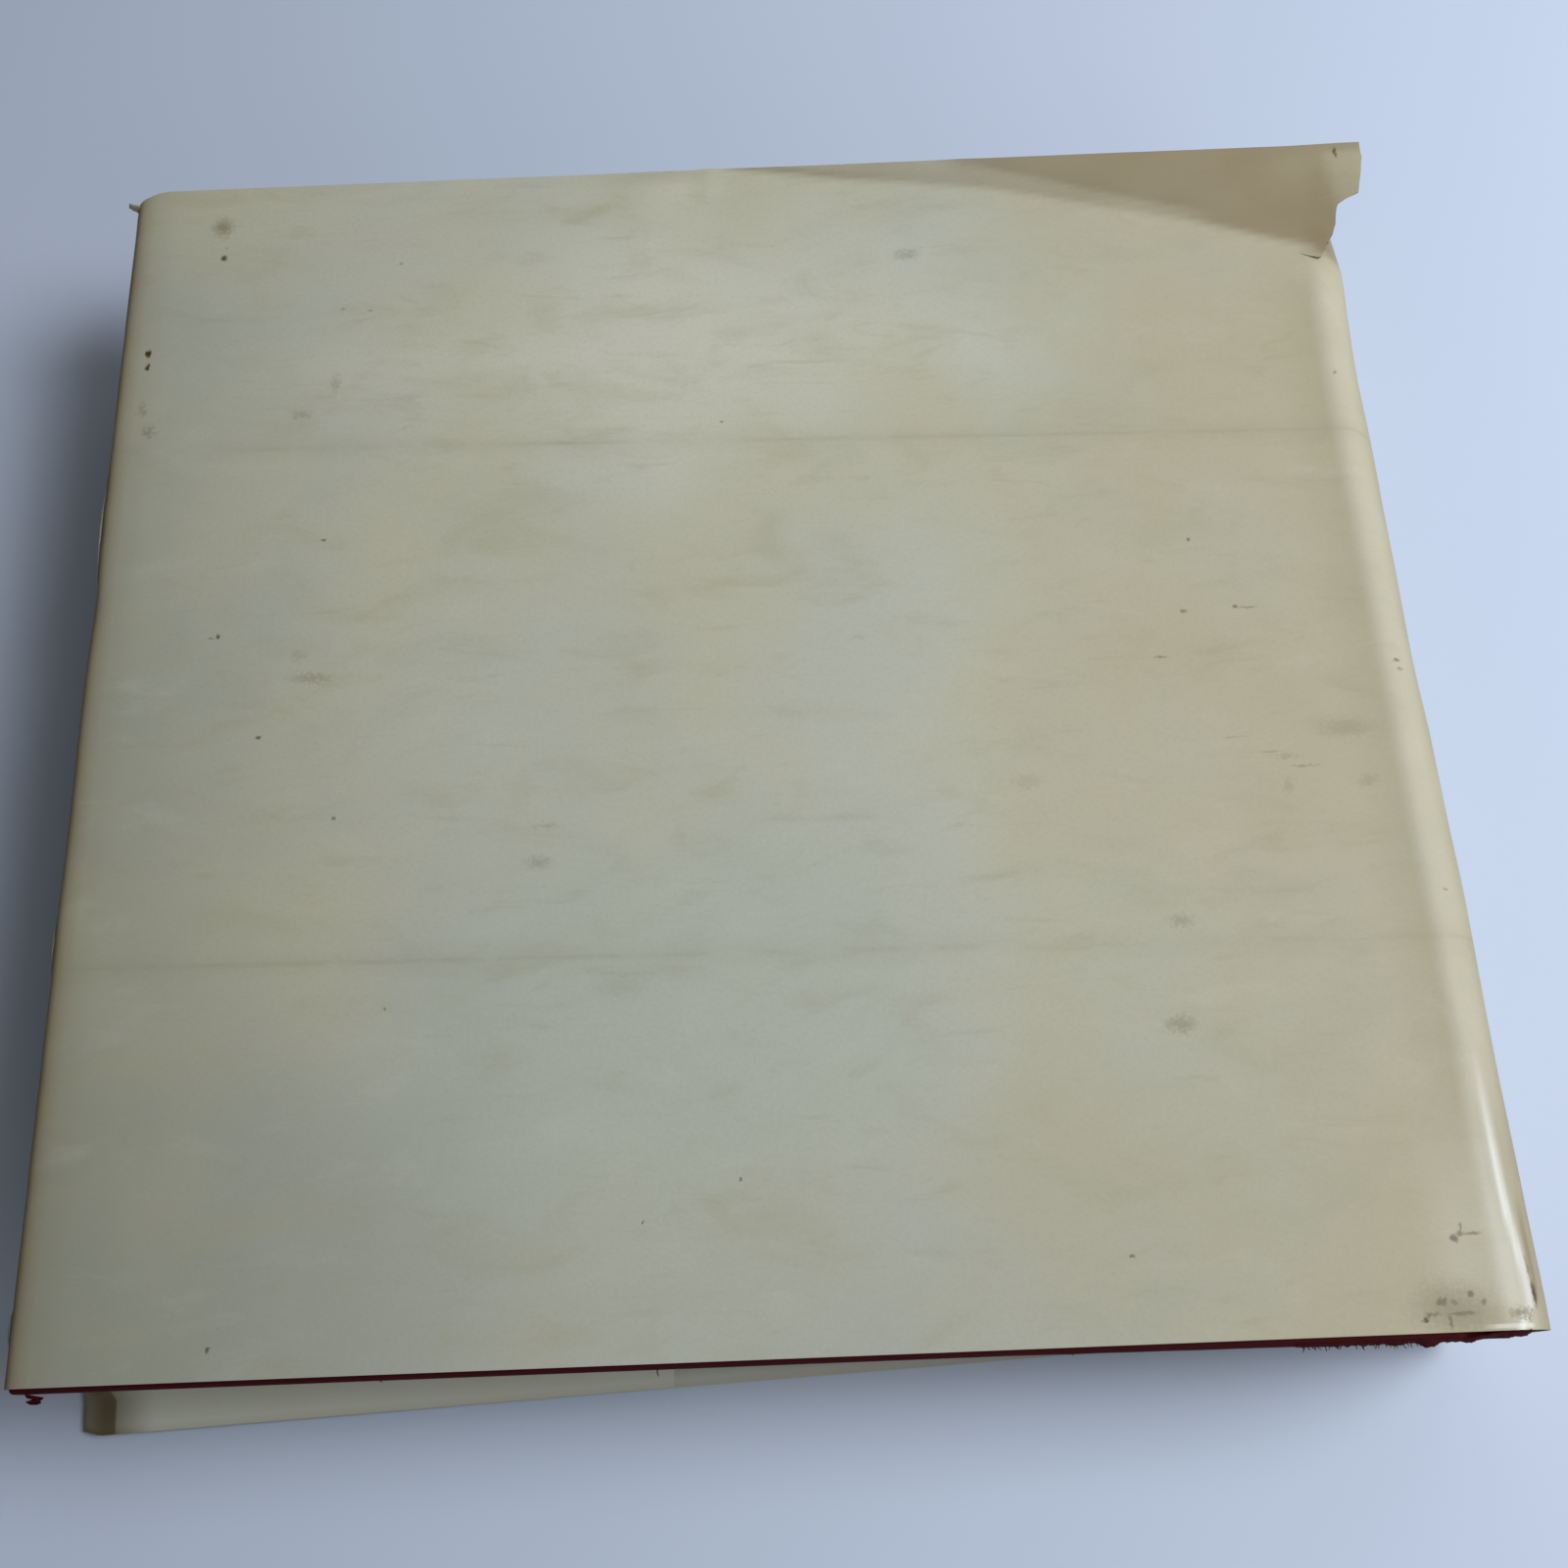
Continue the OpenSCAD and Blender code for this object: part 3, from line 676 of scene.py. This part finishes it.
def back_toning_and_shade(s, y):
    """How brown the paper has gone, with painted shade on its folds and slopes, from 0 to 1."""
    # Grime and painted shade on the fore-edge fold, where the paper turns down away from the light.
    tone = 0.9 * (1 - ramp(-2, 4, s)) * ramp(-14, -8, s) * (0.9 + 0.3 * rough(0, y, 14, 9.0))
    tone += 0.2 * (1 - ramp(1, 11, s)) * ramp(-2, 2, s)
    # Brown staining and painted shade past the buckle's crest, where the paper slopes down to the head
    # away from the light.
    past = y - along(BUCKLE, s)
    shade = ramp(-1.2, 2.0, past) * ramp(143, 150, s) * (1 - ramp(300, 324, s))
    above = y - along(FOLDLET, s)
    folded = max(ramp(-1.2, 1.6, above) * ramp(199, 206, s), shade * ramp(254, 268, s))
    start = math.exp(-((past / 2.6) ** 2)) * (1 - ramp(165, 196, s))
    tone += (0.4 * shade + 0.26 * folded + 0.36 * start * shade) * (0.92 + 0.2 * rough(s, y, 16, 4.0))
    # Painted shade on the small lift near the head edge, where it slopes down to the head.
    tone += 0.16 * math.exp(-((s - 129) / 11) ** 2) * ramp(282.5, 285, y)
    tone -= 0.36 * ramp(294.5, 299, s) * ramp(258, 268, y) * (1 - ramp(283, 286, y))
    tone += 0.22 * ramp(294, 298, s) * (1 - ramp(250, 256, y)) * (0.7 + 0.6 * rough(s, y, 12, 6.0))
    beyond = s - RIDGE_S - 1.6 * ramp(30, 8, y)
    # A dark dirty crease beyond the tail ridge, and painted shade on the paper that slopes away past it.
    tone += 0.6 * math.exp(-((beyond - 2.0 - 0.08 * y) / 0.9) ** 2) * ramp(5, 9, y) * (1 - ramp(17, 30, y))
    tone += 0.3 * ramp(0.8, 2.4, beyond) * (1 - ramp(30, 64, y)) * (1 - ramp(300, 306, s))
    # Painted shade in the shallow groove just before the bend.
    tone += 0.1 * ramp(274, 283, s) * (1 - ramp(284, 287, s)) * (1 - ramp(240, 252, y))
    # Painted shadow under the torn corner's edge.
    tone += 0.2 * math.exp(-((s - 289.5) / 4) ** 2 - ((y - 255) / 5) ** 2)
    return min(1.0, max(0.0, tone))


def back_rubbing_and_sheen(s, y):
    """How far the paper's face has been polished, with painted sheen and highlight on the ridge, the bend
    and the tail corner, from 0 to 1.
    """
    ridge = ramp(62, 26, y) * math.exp(-((s - ridge_line(y)) / 0.75) ** 2)
    band = 0.2 * ramp(284.5, 287.5, s) * (1 - ramp(291, 297, s)) * (1 - ramp(236, 252, y))
    corner = 0.24 * ramp(272, 281, s) * (1 - ramp(289, 292, s)) * (1 - ramp(18, 52, y)) * ramp(3, 8, y)
    return min(1.0, ridge + (band + corner) * (0.85 + 0.3 * rough(s, y, 9, 15.0)))


def paint(bm, where, toning_and_shade, rubbing_and_sheen):
    """Writes the two masks, wear with painted shade and polish with painted sheen, at each corner of the
    net.
    """
    tone = bm.verts.layers.float.new("toning_and_shade")
    rub = bm.verts.layers.float.new("rubbing_and_sheen")
    for v in bm.verts:
        s, y = where(v)
        v[tone] = toning_and_shade(s, y)
        v[rub] = rubbing_and_sheen(s, y)


def back_half(paper):
    """Back half of the jacket: flap, fore-edge fold, panel and the spine down to its middle."""
    across = steps(FOLD_TURN - FOLD_LEN - FLAP_END + FOLD_TURN, FOLD_TURN - FOLD_LEN, 12)
    across += steps(FOLD_TURN - FOLD_LEN, FOLD_TURN, 14)
    across += steps(FOLD_TURN, STRIP_X, 120)
    across += steps(STRIP_X, TEAR_X, 14)
    across += steps(TEAR_X, SHEET_END, 36) + [SHEET_END]
    bm = net(across, JACKET_ROWS)
    torn_faces = []
    for face in bm.faces:
        middle = face.calc_center_median()
        if middle.y > TEAR_ROW and STRIP_X < middle.x < TEAR_X:
            torn_faces.append(face)
    for v in bm.verts:
        if v.co.x > STRIP_X:
            v.co.x = tear_shift(v.co.x, v.co.y)
    paint(bm, lambda v: (v.co.x, v.co.y), back_toning_and_shade, back_rubbing_and_sheen)

    corner = bm.copy()
    corner.faces.ensure_lookup_table()
    torn = {face.index for face in torn_faces}
    bmesh.ops.delete(corner, geom=[f for f in corner.faces if f.index not in torn], context="FACES")
    bmesh.ops.delete(bm, geom=torn_faces, context="FACES")
    for v in bm.verts:
        v.co = back_point(v.co.x, v.co.y)
    for v in corner.verts:
        v.co = torn_point(v.co.x, v.co.y)
    tip = corner.copy()
    for part, side in ((corner, 1), (tip, -1)):
        bmesh.ops.bisect_plane(part, geom=part.verts[:] + part.edges[:] + part.faces[:],
                               plane_co=(TEAR_FOLD, 0, 0), plane_no=(side, 0, 0), clear_outer=True)
    for part in (bm, corner, tip):
        thicken(part, PAPER_T)

    sheet = finish_piece(bm, "jacket_back_sheet", paper,
                         ("jacket_back", "jacket_back_joint", "jacket_spine"))
    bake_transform(sheet)
    scrap = finish_piece(corner, "jacket_torn_corner", paper)
    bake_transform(scrap)
    # The free tip keeps about the turn that the corner has where it joins it
    scrap = finish_piece(tip, "jacket_torn_tip", paper)
    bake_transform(scrap)


# Wedge that the slip has pressed the front fold into: distance along the sheet, x, z
FRONT_WEDGE = [(-137.0, FLAP_END, 4.9), (-12.6, 0.6, 4.9), (-11.6, -0.5, 4.45), (-6.2, -4.9, 1.1),
               (-5.4, -5.4, 0.6), (-4.6, -4.9, 0.2), (0.0, 0.0, 0.2)]


def front_point(s, y):
    """Point on the jacket's front half, turned by the slip up to the spine's bend."""
    if s > 0:
        x, z, _, _ = back_line(max(s, FOLD_TURN))
        x = s if s < FOLD_TURN else x
        z = TOTAL_T - z
    else:
        x = along([(p[0], p[1]) for p in FRONT_WEDGE], s)
        z = along([(p[0], p[2]) for p in FRONT_WEDGE], s)
        z += 0.15 * rough(s * 3, y, 25, 21.0) * ramp(-13, -9, s) * (1 - ramp(-9, -5.5, s))
        free = 1 - ramp(8.5, 13, y)
        x += 3.9 * free * ramp(-30, -12.6, s) * (1 - ramp(-12, -5.5, s))
        x += 1.2 * free * ramp(-12.6, -6.2, s) * (1 - ramp(-4.6, 0, s))
        y += 1.2 * ramp(-9.5, -5.4, s) * (1 - ramp(-5.4, 0, s)) * (1 - ramp(2, 9, y))
    turn = SLIP * (1 - ramp(SLIP_X - 20, BEND_X, x))
    across, up = x - SLIP_X, y - JACKET_Y0
    return Vector((SLIP_X + across * math.cos(turn) - up * math.sin(turn),
                   JACKET_Y0 + across * math.sin(turn) + up * math.cos(turn), z))


def front_toning_and_shade(s, y):
    """How brown the front half's paper has gone, with painted shade on its pressed fold and painted shadow
    under the book, from 0 to 1.
    """
    # Painted shade on the face of the pressed fold, which turns away from the light.
    tone = (0.95 - 0.3 * ramp(-9.5, -6, s)) * (1 - ramp(-3.2, 0.5, s)) * ramp(-13.4, -12, s)
    # Darker along the sheet's tail edge.
    tone += 0.25 * (1 - ramp(JACKET_Y0, JACKET_Y0 + 1.7, y))
    # Painted shadow of the book's tail edge on the strip below it.
    tone += 0.12 * ramp(-0.8, 0.8, y - 1 - 0.047 * (s - 42)) * ramp(20, 60, s) * (1 - ramp(118, 135, s))
    tone += 0.22 * ramp(294, 298, s) * (0.7 + 0.6 * rough(s, y, 12, 6.0))
    return min(1.0, max(0.0, tone))


def front_half(paper):
    """Front half of the jacket, slipped round a little, under the book."""
    across = steps(-137.0, -12.6, 12) + steps(-12.6, -11.6, 3) + steps(-11.6, -6.2, 5)
    across += steps(-6.2, -4.6, 4) + steps(-4.6, 0.0, 2)
    across += steps(0.0, STRIP_X, 50) + steps(STRIP_X, SHEET_END, 27) + [SHEET_END]
    bm = net(across, JACKET_ROWS)
    paint(bm, lambda v: (v.co.x, v.co.y), front_toning_and_shade, lambda s, y: 0.0)
    for v in bm.verts:
        v.co = front_point(v.co.x, v.co.y)
    bmesh.ops.reverse_faces(bm, faces=bm.faces[:])
    thicken(bm, PAPER_T)
    sheet = finish_piece(bm, "jacket_front_sheet", paper,
                         ("jacket_front", "jacket_front_joint"))
    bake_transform(sheet)


# ---- Case ----


def tail_edge(x):
    """Where the back cover's cloth ends at the tail, with its wear."""
    edge = along([(0, 0.5), (190, 0.5), (225, 0.25), (262, 0.0), (276, 0.0)], x)
    return edge + 0.1 * rough(x, 0, 9, 31.0) * ramp(120, 230, x)


def cover_board(side, cloth, low_z, high_z, tail):
    """Board with its cloth drawn over it, rounded at its outer edges, with a blunted head corner."""
    bm = bmesh.new()
    bmesh.ops.create_cube(bm, size=1.0)
    bmesh.ops.transform(bm, verts=bm.verts, matrix=Matrix.Translation(
        (COVER_W / 2, COVER_H / 2, (low_z + high_z) / 2)) @ Matrix.Diagonal(
        (COVER_W, COVER_H, high_z - low_z, 1)))
    outer = [e for e in bm.edges if min(v.co.x for v in e.verts) < COVER_W - 1]
    long_ones = [e for e in outer if max(v.co.x for v in e.verts) < 1
                 or abs(e.verts[0].co.x - e.verts[1].co.x) > 1]
    bmesh.ops.bevel(bm, geom=long_ones, offset=1.0, offset_type="OFFSET", segments=4, profile=0.5,
                    affect="EDGES", material=-1)
    for x in steps(6, COVER_W, 45):
        bmesh.ops.bisect_plane(bm, geom=bm.verts[:] + bm.edges[:] + bm.faces[:],
                               plane_co=(x, 0, 0), plane_no=(1, 0, 0))
    for v in bm.verts:
        v.co.y += (1 - ramp(0, 8, v.co.y)) * tail(v.co.x)
        v.co.y -= 1.5 * (1 - ramp(0, 5, v.co.x)) * ramp(COVER_H - 6, COVER_H, v.co.y)
    case = finish_piece(bm, side + "_cover_case", cloth,
                        (side + "_cover_cloth", side + "_board"))
    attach(case, side + "_cover")


def spine_case(cloth):
    """Spine card with its cloth, rounded over both ends, leaning a little at the tail."""
    back_x = (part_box("headband_tail")[1] - CORNER).x * 1000 - BACK_R
    inner, outer, angle = BACK_R + 1.38, BACK_R + 2.68, math.radians(37.2)
    bm = bmesh.new()
    round_r = (outer - inner) / 2
    profile = [(round_r * (1 - math.cos(a)), round_r * math.sin(a))
               for a in (math.pi * i / 12 for i in range(7))]
    loop = [(inner + round_r - w, d) for d, w in profile]
    loop = [(2 * inner + 2 * round_r - r, d) for r, d in reversed(loop)][:-1] + loop
    points = [bm.verts.new((back_x + r, d, MID_Z)) for r, d in loop]
    points += [bm.verts.new((back_x + r, COVER_H - d, MID_Z)) for r, d in reversed(loop)]
    for first, second in zip(points, points[1:] + points[:1]):
        bm.edges.new((first, second))
    middle = (back_x, 0, MID_Z)
    bmesh.ops.rotate(bm, verts=bm.verts, cent=middle, matrix=Matrix.Rotation(angle, 3, "Y"))
    bmesh.ops.spin(bm, geom=bm.verts[:] + bm.edges[:], cent=middle, axis=(0, 1, 0),
                   angle=-2 * angle, steps=48)
    bmesh.ops.holes_fill(bm, edges=bm.edges[:], sides=80)
    bmesh.ops.recalc_face_normals(bm, faces=bm.faces[:])
    for v in bm.verts:
        v.co.y += (1 - ramp(0, 8, v.co.y)) * lean(v.co.z)
    spine = finish_piece(bm, "spine_case", cloth, ("spine_cloth", "spine_inlay"))
    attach(spine, "text_block")


def strip_along(name, material, line, y0, y1, thickness, mirrored, stand_for):
    """Narrow sheet with the given outline in X and Z, run along the book's height."""
    bm = bmesh.new()
    points = [bm.verts.new((x, y0, TOTAL_T - z if mirrored else z)) for x, z in line]
    for first, second in zip(points, points[1:]):
        bm.edges.new((first, second))
    bmesh.ops.spin(bm, geom=bm.verts[:] + bm.edges[:], cent=(0, 0, 0), axis=(0, 1, 0),
                   dvec=(0, (y1 - y0) / 24, 0), angle=0, steps=24)
    bmesh.ops.recalc_face_normals(bm, faces=bm.faces[:])
    thicken(bm, thickness)
    return finish_piece(bm, name, material, stand_for)


def softened(line, passes=2):
    """The same outline with its corners cut to curves."""
    for _ in range(passes):
        made = [line[0]]
        for (x0, z0), (x1, z1) in zip(line, line[1:]):
            made.append((x0 * 0.75 + x1 * 0.25, z0 * 0.75 + z1 * 0.25))
            made.append((x0 * 0.25 + x1 * 0.75, z0 * 0.25 + z1 * 0.75))
        line = made + [line[-1]]
    return line


JOINT_CLOTH = [(275.7, 0.66), (277.4, 0.66), (278.6, 1.3), (278.9, 2.75), (285.2, 2.75),
               (288.3, 4.95)]
JOINT_PAPER = [(275.9, 4.55), (278.5, 4.6), (283.0, 3.5)]


def case_pieces(cloth, endpaper):
    """Both covers, the spine and the strips that bend in the joints."""
    cover_board("back", cloth, TOTAL_T - 4.7, TOTAL_T - 0.42, tail_edge)
    cover_board("front", cloth, 0.42, 4.7, lambda x: lean(2.5))
    spine_case(cloth)
    for side, mirrored in (("front", False), ("back", True)):
        hinge = strip_along(side + "_joint", cloth, softened(JOINT_CLOTH),
                            0.2 if mirrored else 1.8, COVER_H, 0.5, mirrored,
                            (side + "_joint_cloth",))
        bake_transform(hinge)
        lining = strip_along(side + "_joint_lining", endpaper, softened(JOINT_PAPER),
                             3.5, COVER_H - 3.5, 0.3, mirrored, (side + "_joint_endpaper",))
        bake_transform(lining)


# Lumps of worn cloth at the tail edge: x, half width, hang
LUMPS = ((271.4, 1.7, 0.8), (265.0, 1.6, 0.3), (279.0, 1.2, 0.25), (286.6, 1.8, 0.5),
         (289.4, 1.0, 0.45))


def frayed_edge(cloth):
    """Worn cloth that hangs in lumps from the tail edge near the spine."""
    across = steps(246, 291, 120) + [291]
    bm = net(across, [0.0, 1.0, 2.0, 3.0])
    for v in bm.verts:
        x, down = v.co.x, v.co.y
        hang = 0.05 + sum(size * math.exp(-(((x - spot) / wide) ** 4)) for spot, wide, size in LUMPS)
        hang += 0.4 * abs(rough(x, 0, 1.5, 40.0)) + 0.15 * rough(x, 0, 0.5, 41.0)
        hang *= ramp(246, 254, x) * (1 - ramp(290.4, 291, x))
        v.co = Vector((x, 0.55 + 0.9 * ramp(279, 287, x) - down / 3 * (0.45 + hang),
                       TOTAL_T - 0.55 - 0.12 * down * down + 0.25 * rough(x, down, 1.4, 44.0)))
    bmesh.ops.reverse_faces(bm, faces=bm.faces[:])
    thicken(bm, 0.35)
    piece = finish_piece(bm, "frayed_edge", cloth)
    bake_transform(piece)


def thread(bm, path, radius):
    """One loose thread: a tapering tube along the path."""
    edges = []
    for i, spot in enumerate(path):
        after, before = path[min(i + 1, len(path) - 1)], path[max(i - 1, 0)]
        turn = (after - before).to_track_quat("Z", "Y").to_matrix().to_4x4()
        shape = Matrix.Translation(spot) @ turn @ Matrix.Scale(1 - 0.5 * i / len(path), 4)
        if not edges:
            ring = bmesh.ops.create_circle(bm, segments=5, radius=radius, cap_ends=False)["verts"]
            edges = list({e for v in ring for e in v.link_edges})
        else:
            made = bmesh.ops.extrude_edge_only(bm, edges=edges)["geom"]
            ring = [g for g in made if isinstance(g, bmesh.types.BMVert)]
            edges = [g for g in made if isinstance(g, bmesh.types.BMEdge)]
            bmesh.ops.transform(bm, verts=ring, matrix=placed.inverted())
        bmesh.ops.transform(bm, verts=ring, matrix=shape)
        placed = shape
    bmesh.ops.contextual_create(bm, geom=edges)


def wandering(start, heading, length, seed):
    """Path of a thread that strays from its heading."""
    path = [start.copy()]
    for i in range(7):
        stray = Vector([rough(i, seed, 1.7, 50.0 + 10 * k) for k in range(3)])
        heading = (heading + stray * 1.2).normalized()
        path.append(path[-1] + heading * (length / 7))
    return path


# Thread that curls below the tail edge near the fore-edge: x, y, height from the top
LOOP = [(3.6, 0.6, -1.0), (3.9, 0.1, -1.2), (5.2, -0.2, -1.2), (6.7, -0.4, -1.3), (5.9, -0.7, -1.4),
        (4.7, -0.75, -1.5), (3.6, -0.95, -1.6), (4.4, -1.2, -1.7), (5.5, -1.25, -1.7), (6.2, -1.0, -1.7)]


def loose_threads(cloth):
    """Threads drawn out of the worn cloth along the back cover's tail edge."""
    bm = bmesh.new()
    for i in range(40):
        x = 247 + 28 * ((i * 0.618) % 1.0)
        heading = Vector((rough(i, 0, 0.7, 80.0), -1.0, -0.3 + rough(i, 0, 0.7, 90.0)))
        start = Vector((x, 0.2, TOTAL_T - 0.9))
        thread(bm, wandering(start, heading, 0.9 + 1.2 * abs(rough(i, 1, 0.7)), i), 0.13)
    for x, length in ((124.0, 1.6), (71.0, 0.9), (203.0, 1.0)):
        thread(bm, wandering(Vector((x, 0.8, TOTAL_T - 1.2)), Vector((0.3, -1.0, -0.2)), length, x), 0.16)
    thread(bm, [Vector((x, y, TOTAL_T + z)) for x, y, z in LOOP], 0.42)
    bmesh.ops.recalc_face_normals(bm, faces=bm.faces[:])
    piece = finish_piece(bm, "loose_threads", cloth)
    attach(piece, "back_cover")


def frayed_ear(paper):
    """Nib of crumpled paper at the jacket's head corner by the fore-edge."""
    bm = net(steps(-2.2, 2.2, 8) + [2.2], steps(0.0, 4.0, 8) + [4.0])
    for v in bm.verts:
        u, w = v.co.x, v.co.y
        v.co = Vector((0.6 - w * 0.95 + 0.2 * u, 282.6 + u * 0.6 * (1 - w / 5.2) + 0.42 * w,
                       PAPER_Z - 1.0 + 0.5 * math.cos(u * 1.4) + 0.35 * rough(u, w, 1.1, 61.0)))
    tone = bm.verts.layers.float.new("toning_and_shade")
    for v in bm.verts:
        v[tone] = 0.15 + 0.6 * ramp(-2.4, -0.4, v.co.x)
    bmesh.ops.recalc_face_normals(bm, faces=bm.faces[:])
    thicken(bm, 0.35)
    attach(finish_piece(bm, "frayed_ear", paper), "back_cover")


# Split lips along the fore-edge: start, end, how far they stand off
SLIVERS = ((176.5, 208.0, 1.0), (82.5, 99.0, 0.9), (9.0, 16.5, 0.9))


def fore_edge_slivers(paper):
    """Thin lips of split paper that stand off the fold along the fore-edge."""
    bm = bmesh.new()
    for y0, y1, out in SLIVERS:
        part = net([0.0, 1.0, 2.0], steps(y0, y1, 20) + [y1])
        for v in part.verts:
            t = (v.co.y - y0) / (y1 - y0)
            bow = out * math.sin(math.pi * t) ** 0.6
            v.co = Vector((-0.75 - bow * v.co.x / 2, v.co.y,
                           PAPER_Z - 2.4 + 0.45 * v.co.x + 0.1 * rough(v.co.y, 0, 4, 66.0)))
        bmesh.ops.recalc_face_normals(part, faces=part.faces[:])
        thicken(part, 0.25)
        mesh = bpy.data.meshes.new("sliver")
        part.to_mesh(mesh)
        part.free()
        bm.from_mesh(mesh)
        bpy.data.meshes.remove(mesh)
    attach(finish_piece(bm, "fore_edge_slivers", paper), "back_cover")


def headband(end, silk):
    """Wound band that stands at the end of the back, with a rib for each turn of silk."""
    low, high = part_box("headband_" + end)
    middle_y = ((low.y + high.y) / 2 - CORNER.y) * 1000
    core_r = 1.15
    back_x = (high.x - CORNER.x) * 1000 - BACK_R
    turns = 46
    angle = math.radians(39)
    bm = bmesh.new()
    ring = bmesh.ops.create_circle(bm, segments=12, radius=core_r)["verts"]
    bmesh.ops.transform(bm, verts=ring, matrix=Matrix.Diagonal((1, 0.6, 1, 1)))
    bmesh.ops.transform(bm, verts=ring, matrix=Matrix.Translation(
        (back_x + BACK_R - core_r - 0.1, middle_y, MID_Z)))
    middle = (back_x, middle_y, MID_Z)
    bmesh.ops.rotate(bm, verts=bm.verts, cent=middle, matrix=Matrix.Rotation(angle, 3, "Y"))
    bmesh.ops.spin(bm, geom=bm.verts[:] + bm.edges[:], cent=middle, axis=(0, 1, 0),
                   angle=-2 * angle, steps=turns * 6)
    wrap = bm.verts.layers.float.new("wrap")
    for v in bm.verts:
        off = Vector((v.co.x - back_x, 0, v.co.z - MID_Z))
        turned = math.atan2(off.z, off.x)
        core = Vector((back_x, middle_y, MID_Z)) + off.normalized() * (BACK_R - core_r - 0.1)
        share = (turned + angle) / (2 * angle) * turns
        v[wrap] = share
        rib = 0.9 + 0.1 * abs(math.sin(math.pi * share))
        v.co = core + (v.co - core) * rib
    bmesh.ops.holes_fill(bm, edges=bm.edges[:], sides=20)
    bmesh.ops.recalc_face_normals(bm, faces=bm.faces[:])
    band = finish_piece(bm, "wound_headband_" + end, silk, ("headband_" + end,))
    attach(band, "text_block")


# ---- Stage ----


def table_and_light():
    """Table, backdrop and three soft lights."""
    bm = bmesh.new()
    bmesh.ops.create_grid(bm, x_segments=2, y_segments=2, size=3.0)
    mesh = bpy.data.meshes.new("table")
    bm.to_mesh(mesh)
    bm.free()
    table = bpy.data.objects.new("table", mesh)
    table.location.z = -0.0003
    mesh.materials.append(table_top())
    bpy.context.scene.collection.objects.link(table)

    world = bpy.data.worlds.new("room")
    world.use_nodes = True
    tree = world.node_tree
    fill = tree.nodes["Background"]
    fill.inputs["Color"].default_value = (1.0, 0.97, 0.86, 1.0)
    fill.inputs["Strength"].default_value = 0.085
    backdrop = tree.nodes.new("ShaderNodeBackground")
    backdrop.inputs["Color"].default_value = ROOM
    seen = tree.nodes.new("ShaderNodeLightPath")
    choice = tree.nodes.new("ShaderNodeMixShader")
    tree.links.new(seen.outputs["Is Camera Ray"], choice.inputs[0])
    tree.links.new(fill.outputs[0], choice.inputs[1])
    tree.links.new(backdrop.outputs[0], choice.inputs[2])
    tree.links.new(choice.outputs[0], tree.nodes["World Output"].inputs["Surface"])
    bpy.context.scene.world = world

    lamp("window", (0.9, 0.05, 0.98), (0.6, 0.25, 0.0), 0.7, 19.5, (0.985, 0.99, 1.0))
    lamp("ceiling", (0.3, 0.8, 1.0), (0.0, 0.1, 0.0), 0.9, 2.2, (0.99, 0.99, 1.0))
    lamp("wall", (0.45, -0.85, 0.42), (0.0, -0.1, 0.0), 0.8, 2.4, (0.93, 0.97, 1.0))


def lamp(name, spot, aim, width, power, colour):
    """Square soft light at a spot, turned to its aim."""
    light = bpy.data.lights.new(name, "AREA")
    light.shape = "SQUARE"
    light.size = width
    light.energy = power
    light.color = colour
    holder = bpy.data.objects.new(name, light)
    holder.location = spot
    holder.rotation_euler = (Vector(spot) - Vector(aim)).to_track_quat("Z", "Y").to_euler()
    bpy.context.scene.collection.objects.link(holder)


def camera():
    """Looks down on the book from a hand's height over its tail."""
    lens = bpy.data.cameras.new("camera")
    lens.sensor_width = 36
    lens.lens = 36
    lens.shift_x = 0.0294
    lens.shift_y = 0.0464
    holder = bpy.data.objects.new("camera", lens)
    holder.location = place(143.607, -8.90, 362.7)
    holder.rotation_euler = [math.radians(a) for a in (19.69, 0.82, -2.12)]
    bpy.context.scene.collection.objects.link(holder)
    bpy.context.scene.camera = holder
    bpy.context.scene.view_settings.view_transform = "Standard"


# ---- Build ----


def dress_nodes(materials):
    """Gives every carried-over CAD node the material of what it is made of."""
    for name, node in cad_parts.items():
        for start, material in materials.items():
            if name.startswith(start):
                node.data.materials.clear()
                node.data.materials.append(material)


camera()
table_and_light()

paper = jacket_paper()
# Painted shade: the red is darkened to the tone of the cloth's shaded tail edge, below what the lit cloth
# shows.
cloth = cover_cloth("red_book_cloth", tint(38, 0, 3), tint(64, 2, 6))
endpaper = plain_paper("endpaper", tint(226, 218, 196), tint(208, 197, 168), 1.2)
leaves = leaf_paper()
board = grey_board()

dress_nodes({
    "section": leaves,
    "front_free": endpaper, "back_free": endpaper,
    "front_pastedown": endpaper, "back_pastedown": endpaper,
    "front_joint_endpaper": endpaper, "back_joint_endpaper": endpaper,
    "front_board": board, "back_board": board, "spine_inlay": board,
    "front_cover": cloth, "back_cover": cloth, "spine_cloth": cloth,
    "front_joint_cloth": cloth, "back_joint_cloth": cloth,
    "sewing_tapes": open_weave("linen_tape", tint(150, 138, 108), tint(206, 195, 165), 0.7, 0.2),
    "mull": open_weave("mull", tint(120, 110, 88), tint(214, 206, 182), 1.1, 0.3),
    "spine_lining": plain_paper("lining_paper", tint(184, 160, 118), tint(160, 134, 94), 1.0),
    "kettle_stitches": sewing_thread(),
    "jacket": paper,
})

back_half(paper)
front_half(paper)
case_pieces(cloth, endpaper)
frayed_edge(cloth)
loose_threads(cloth)
frayed_ear(paper)
fore_edge_slivers(paper)
silk = headband_silk()
headband("head", silk)
headband("tail", silk)
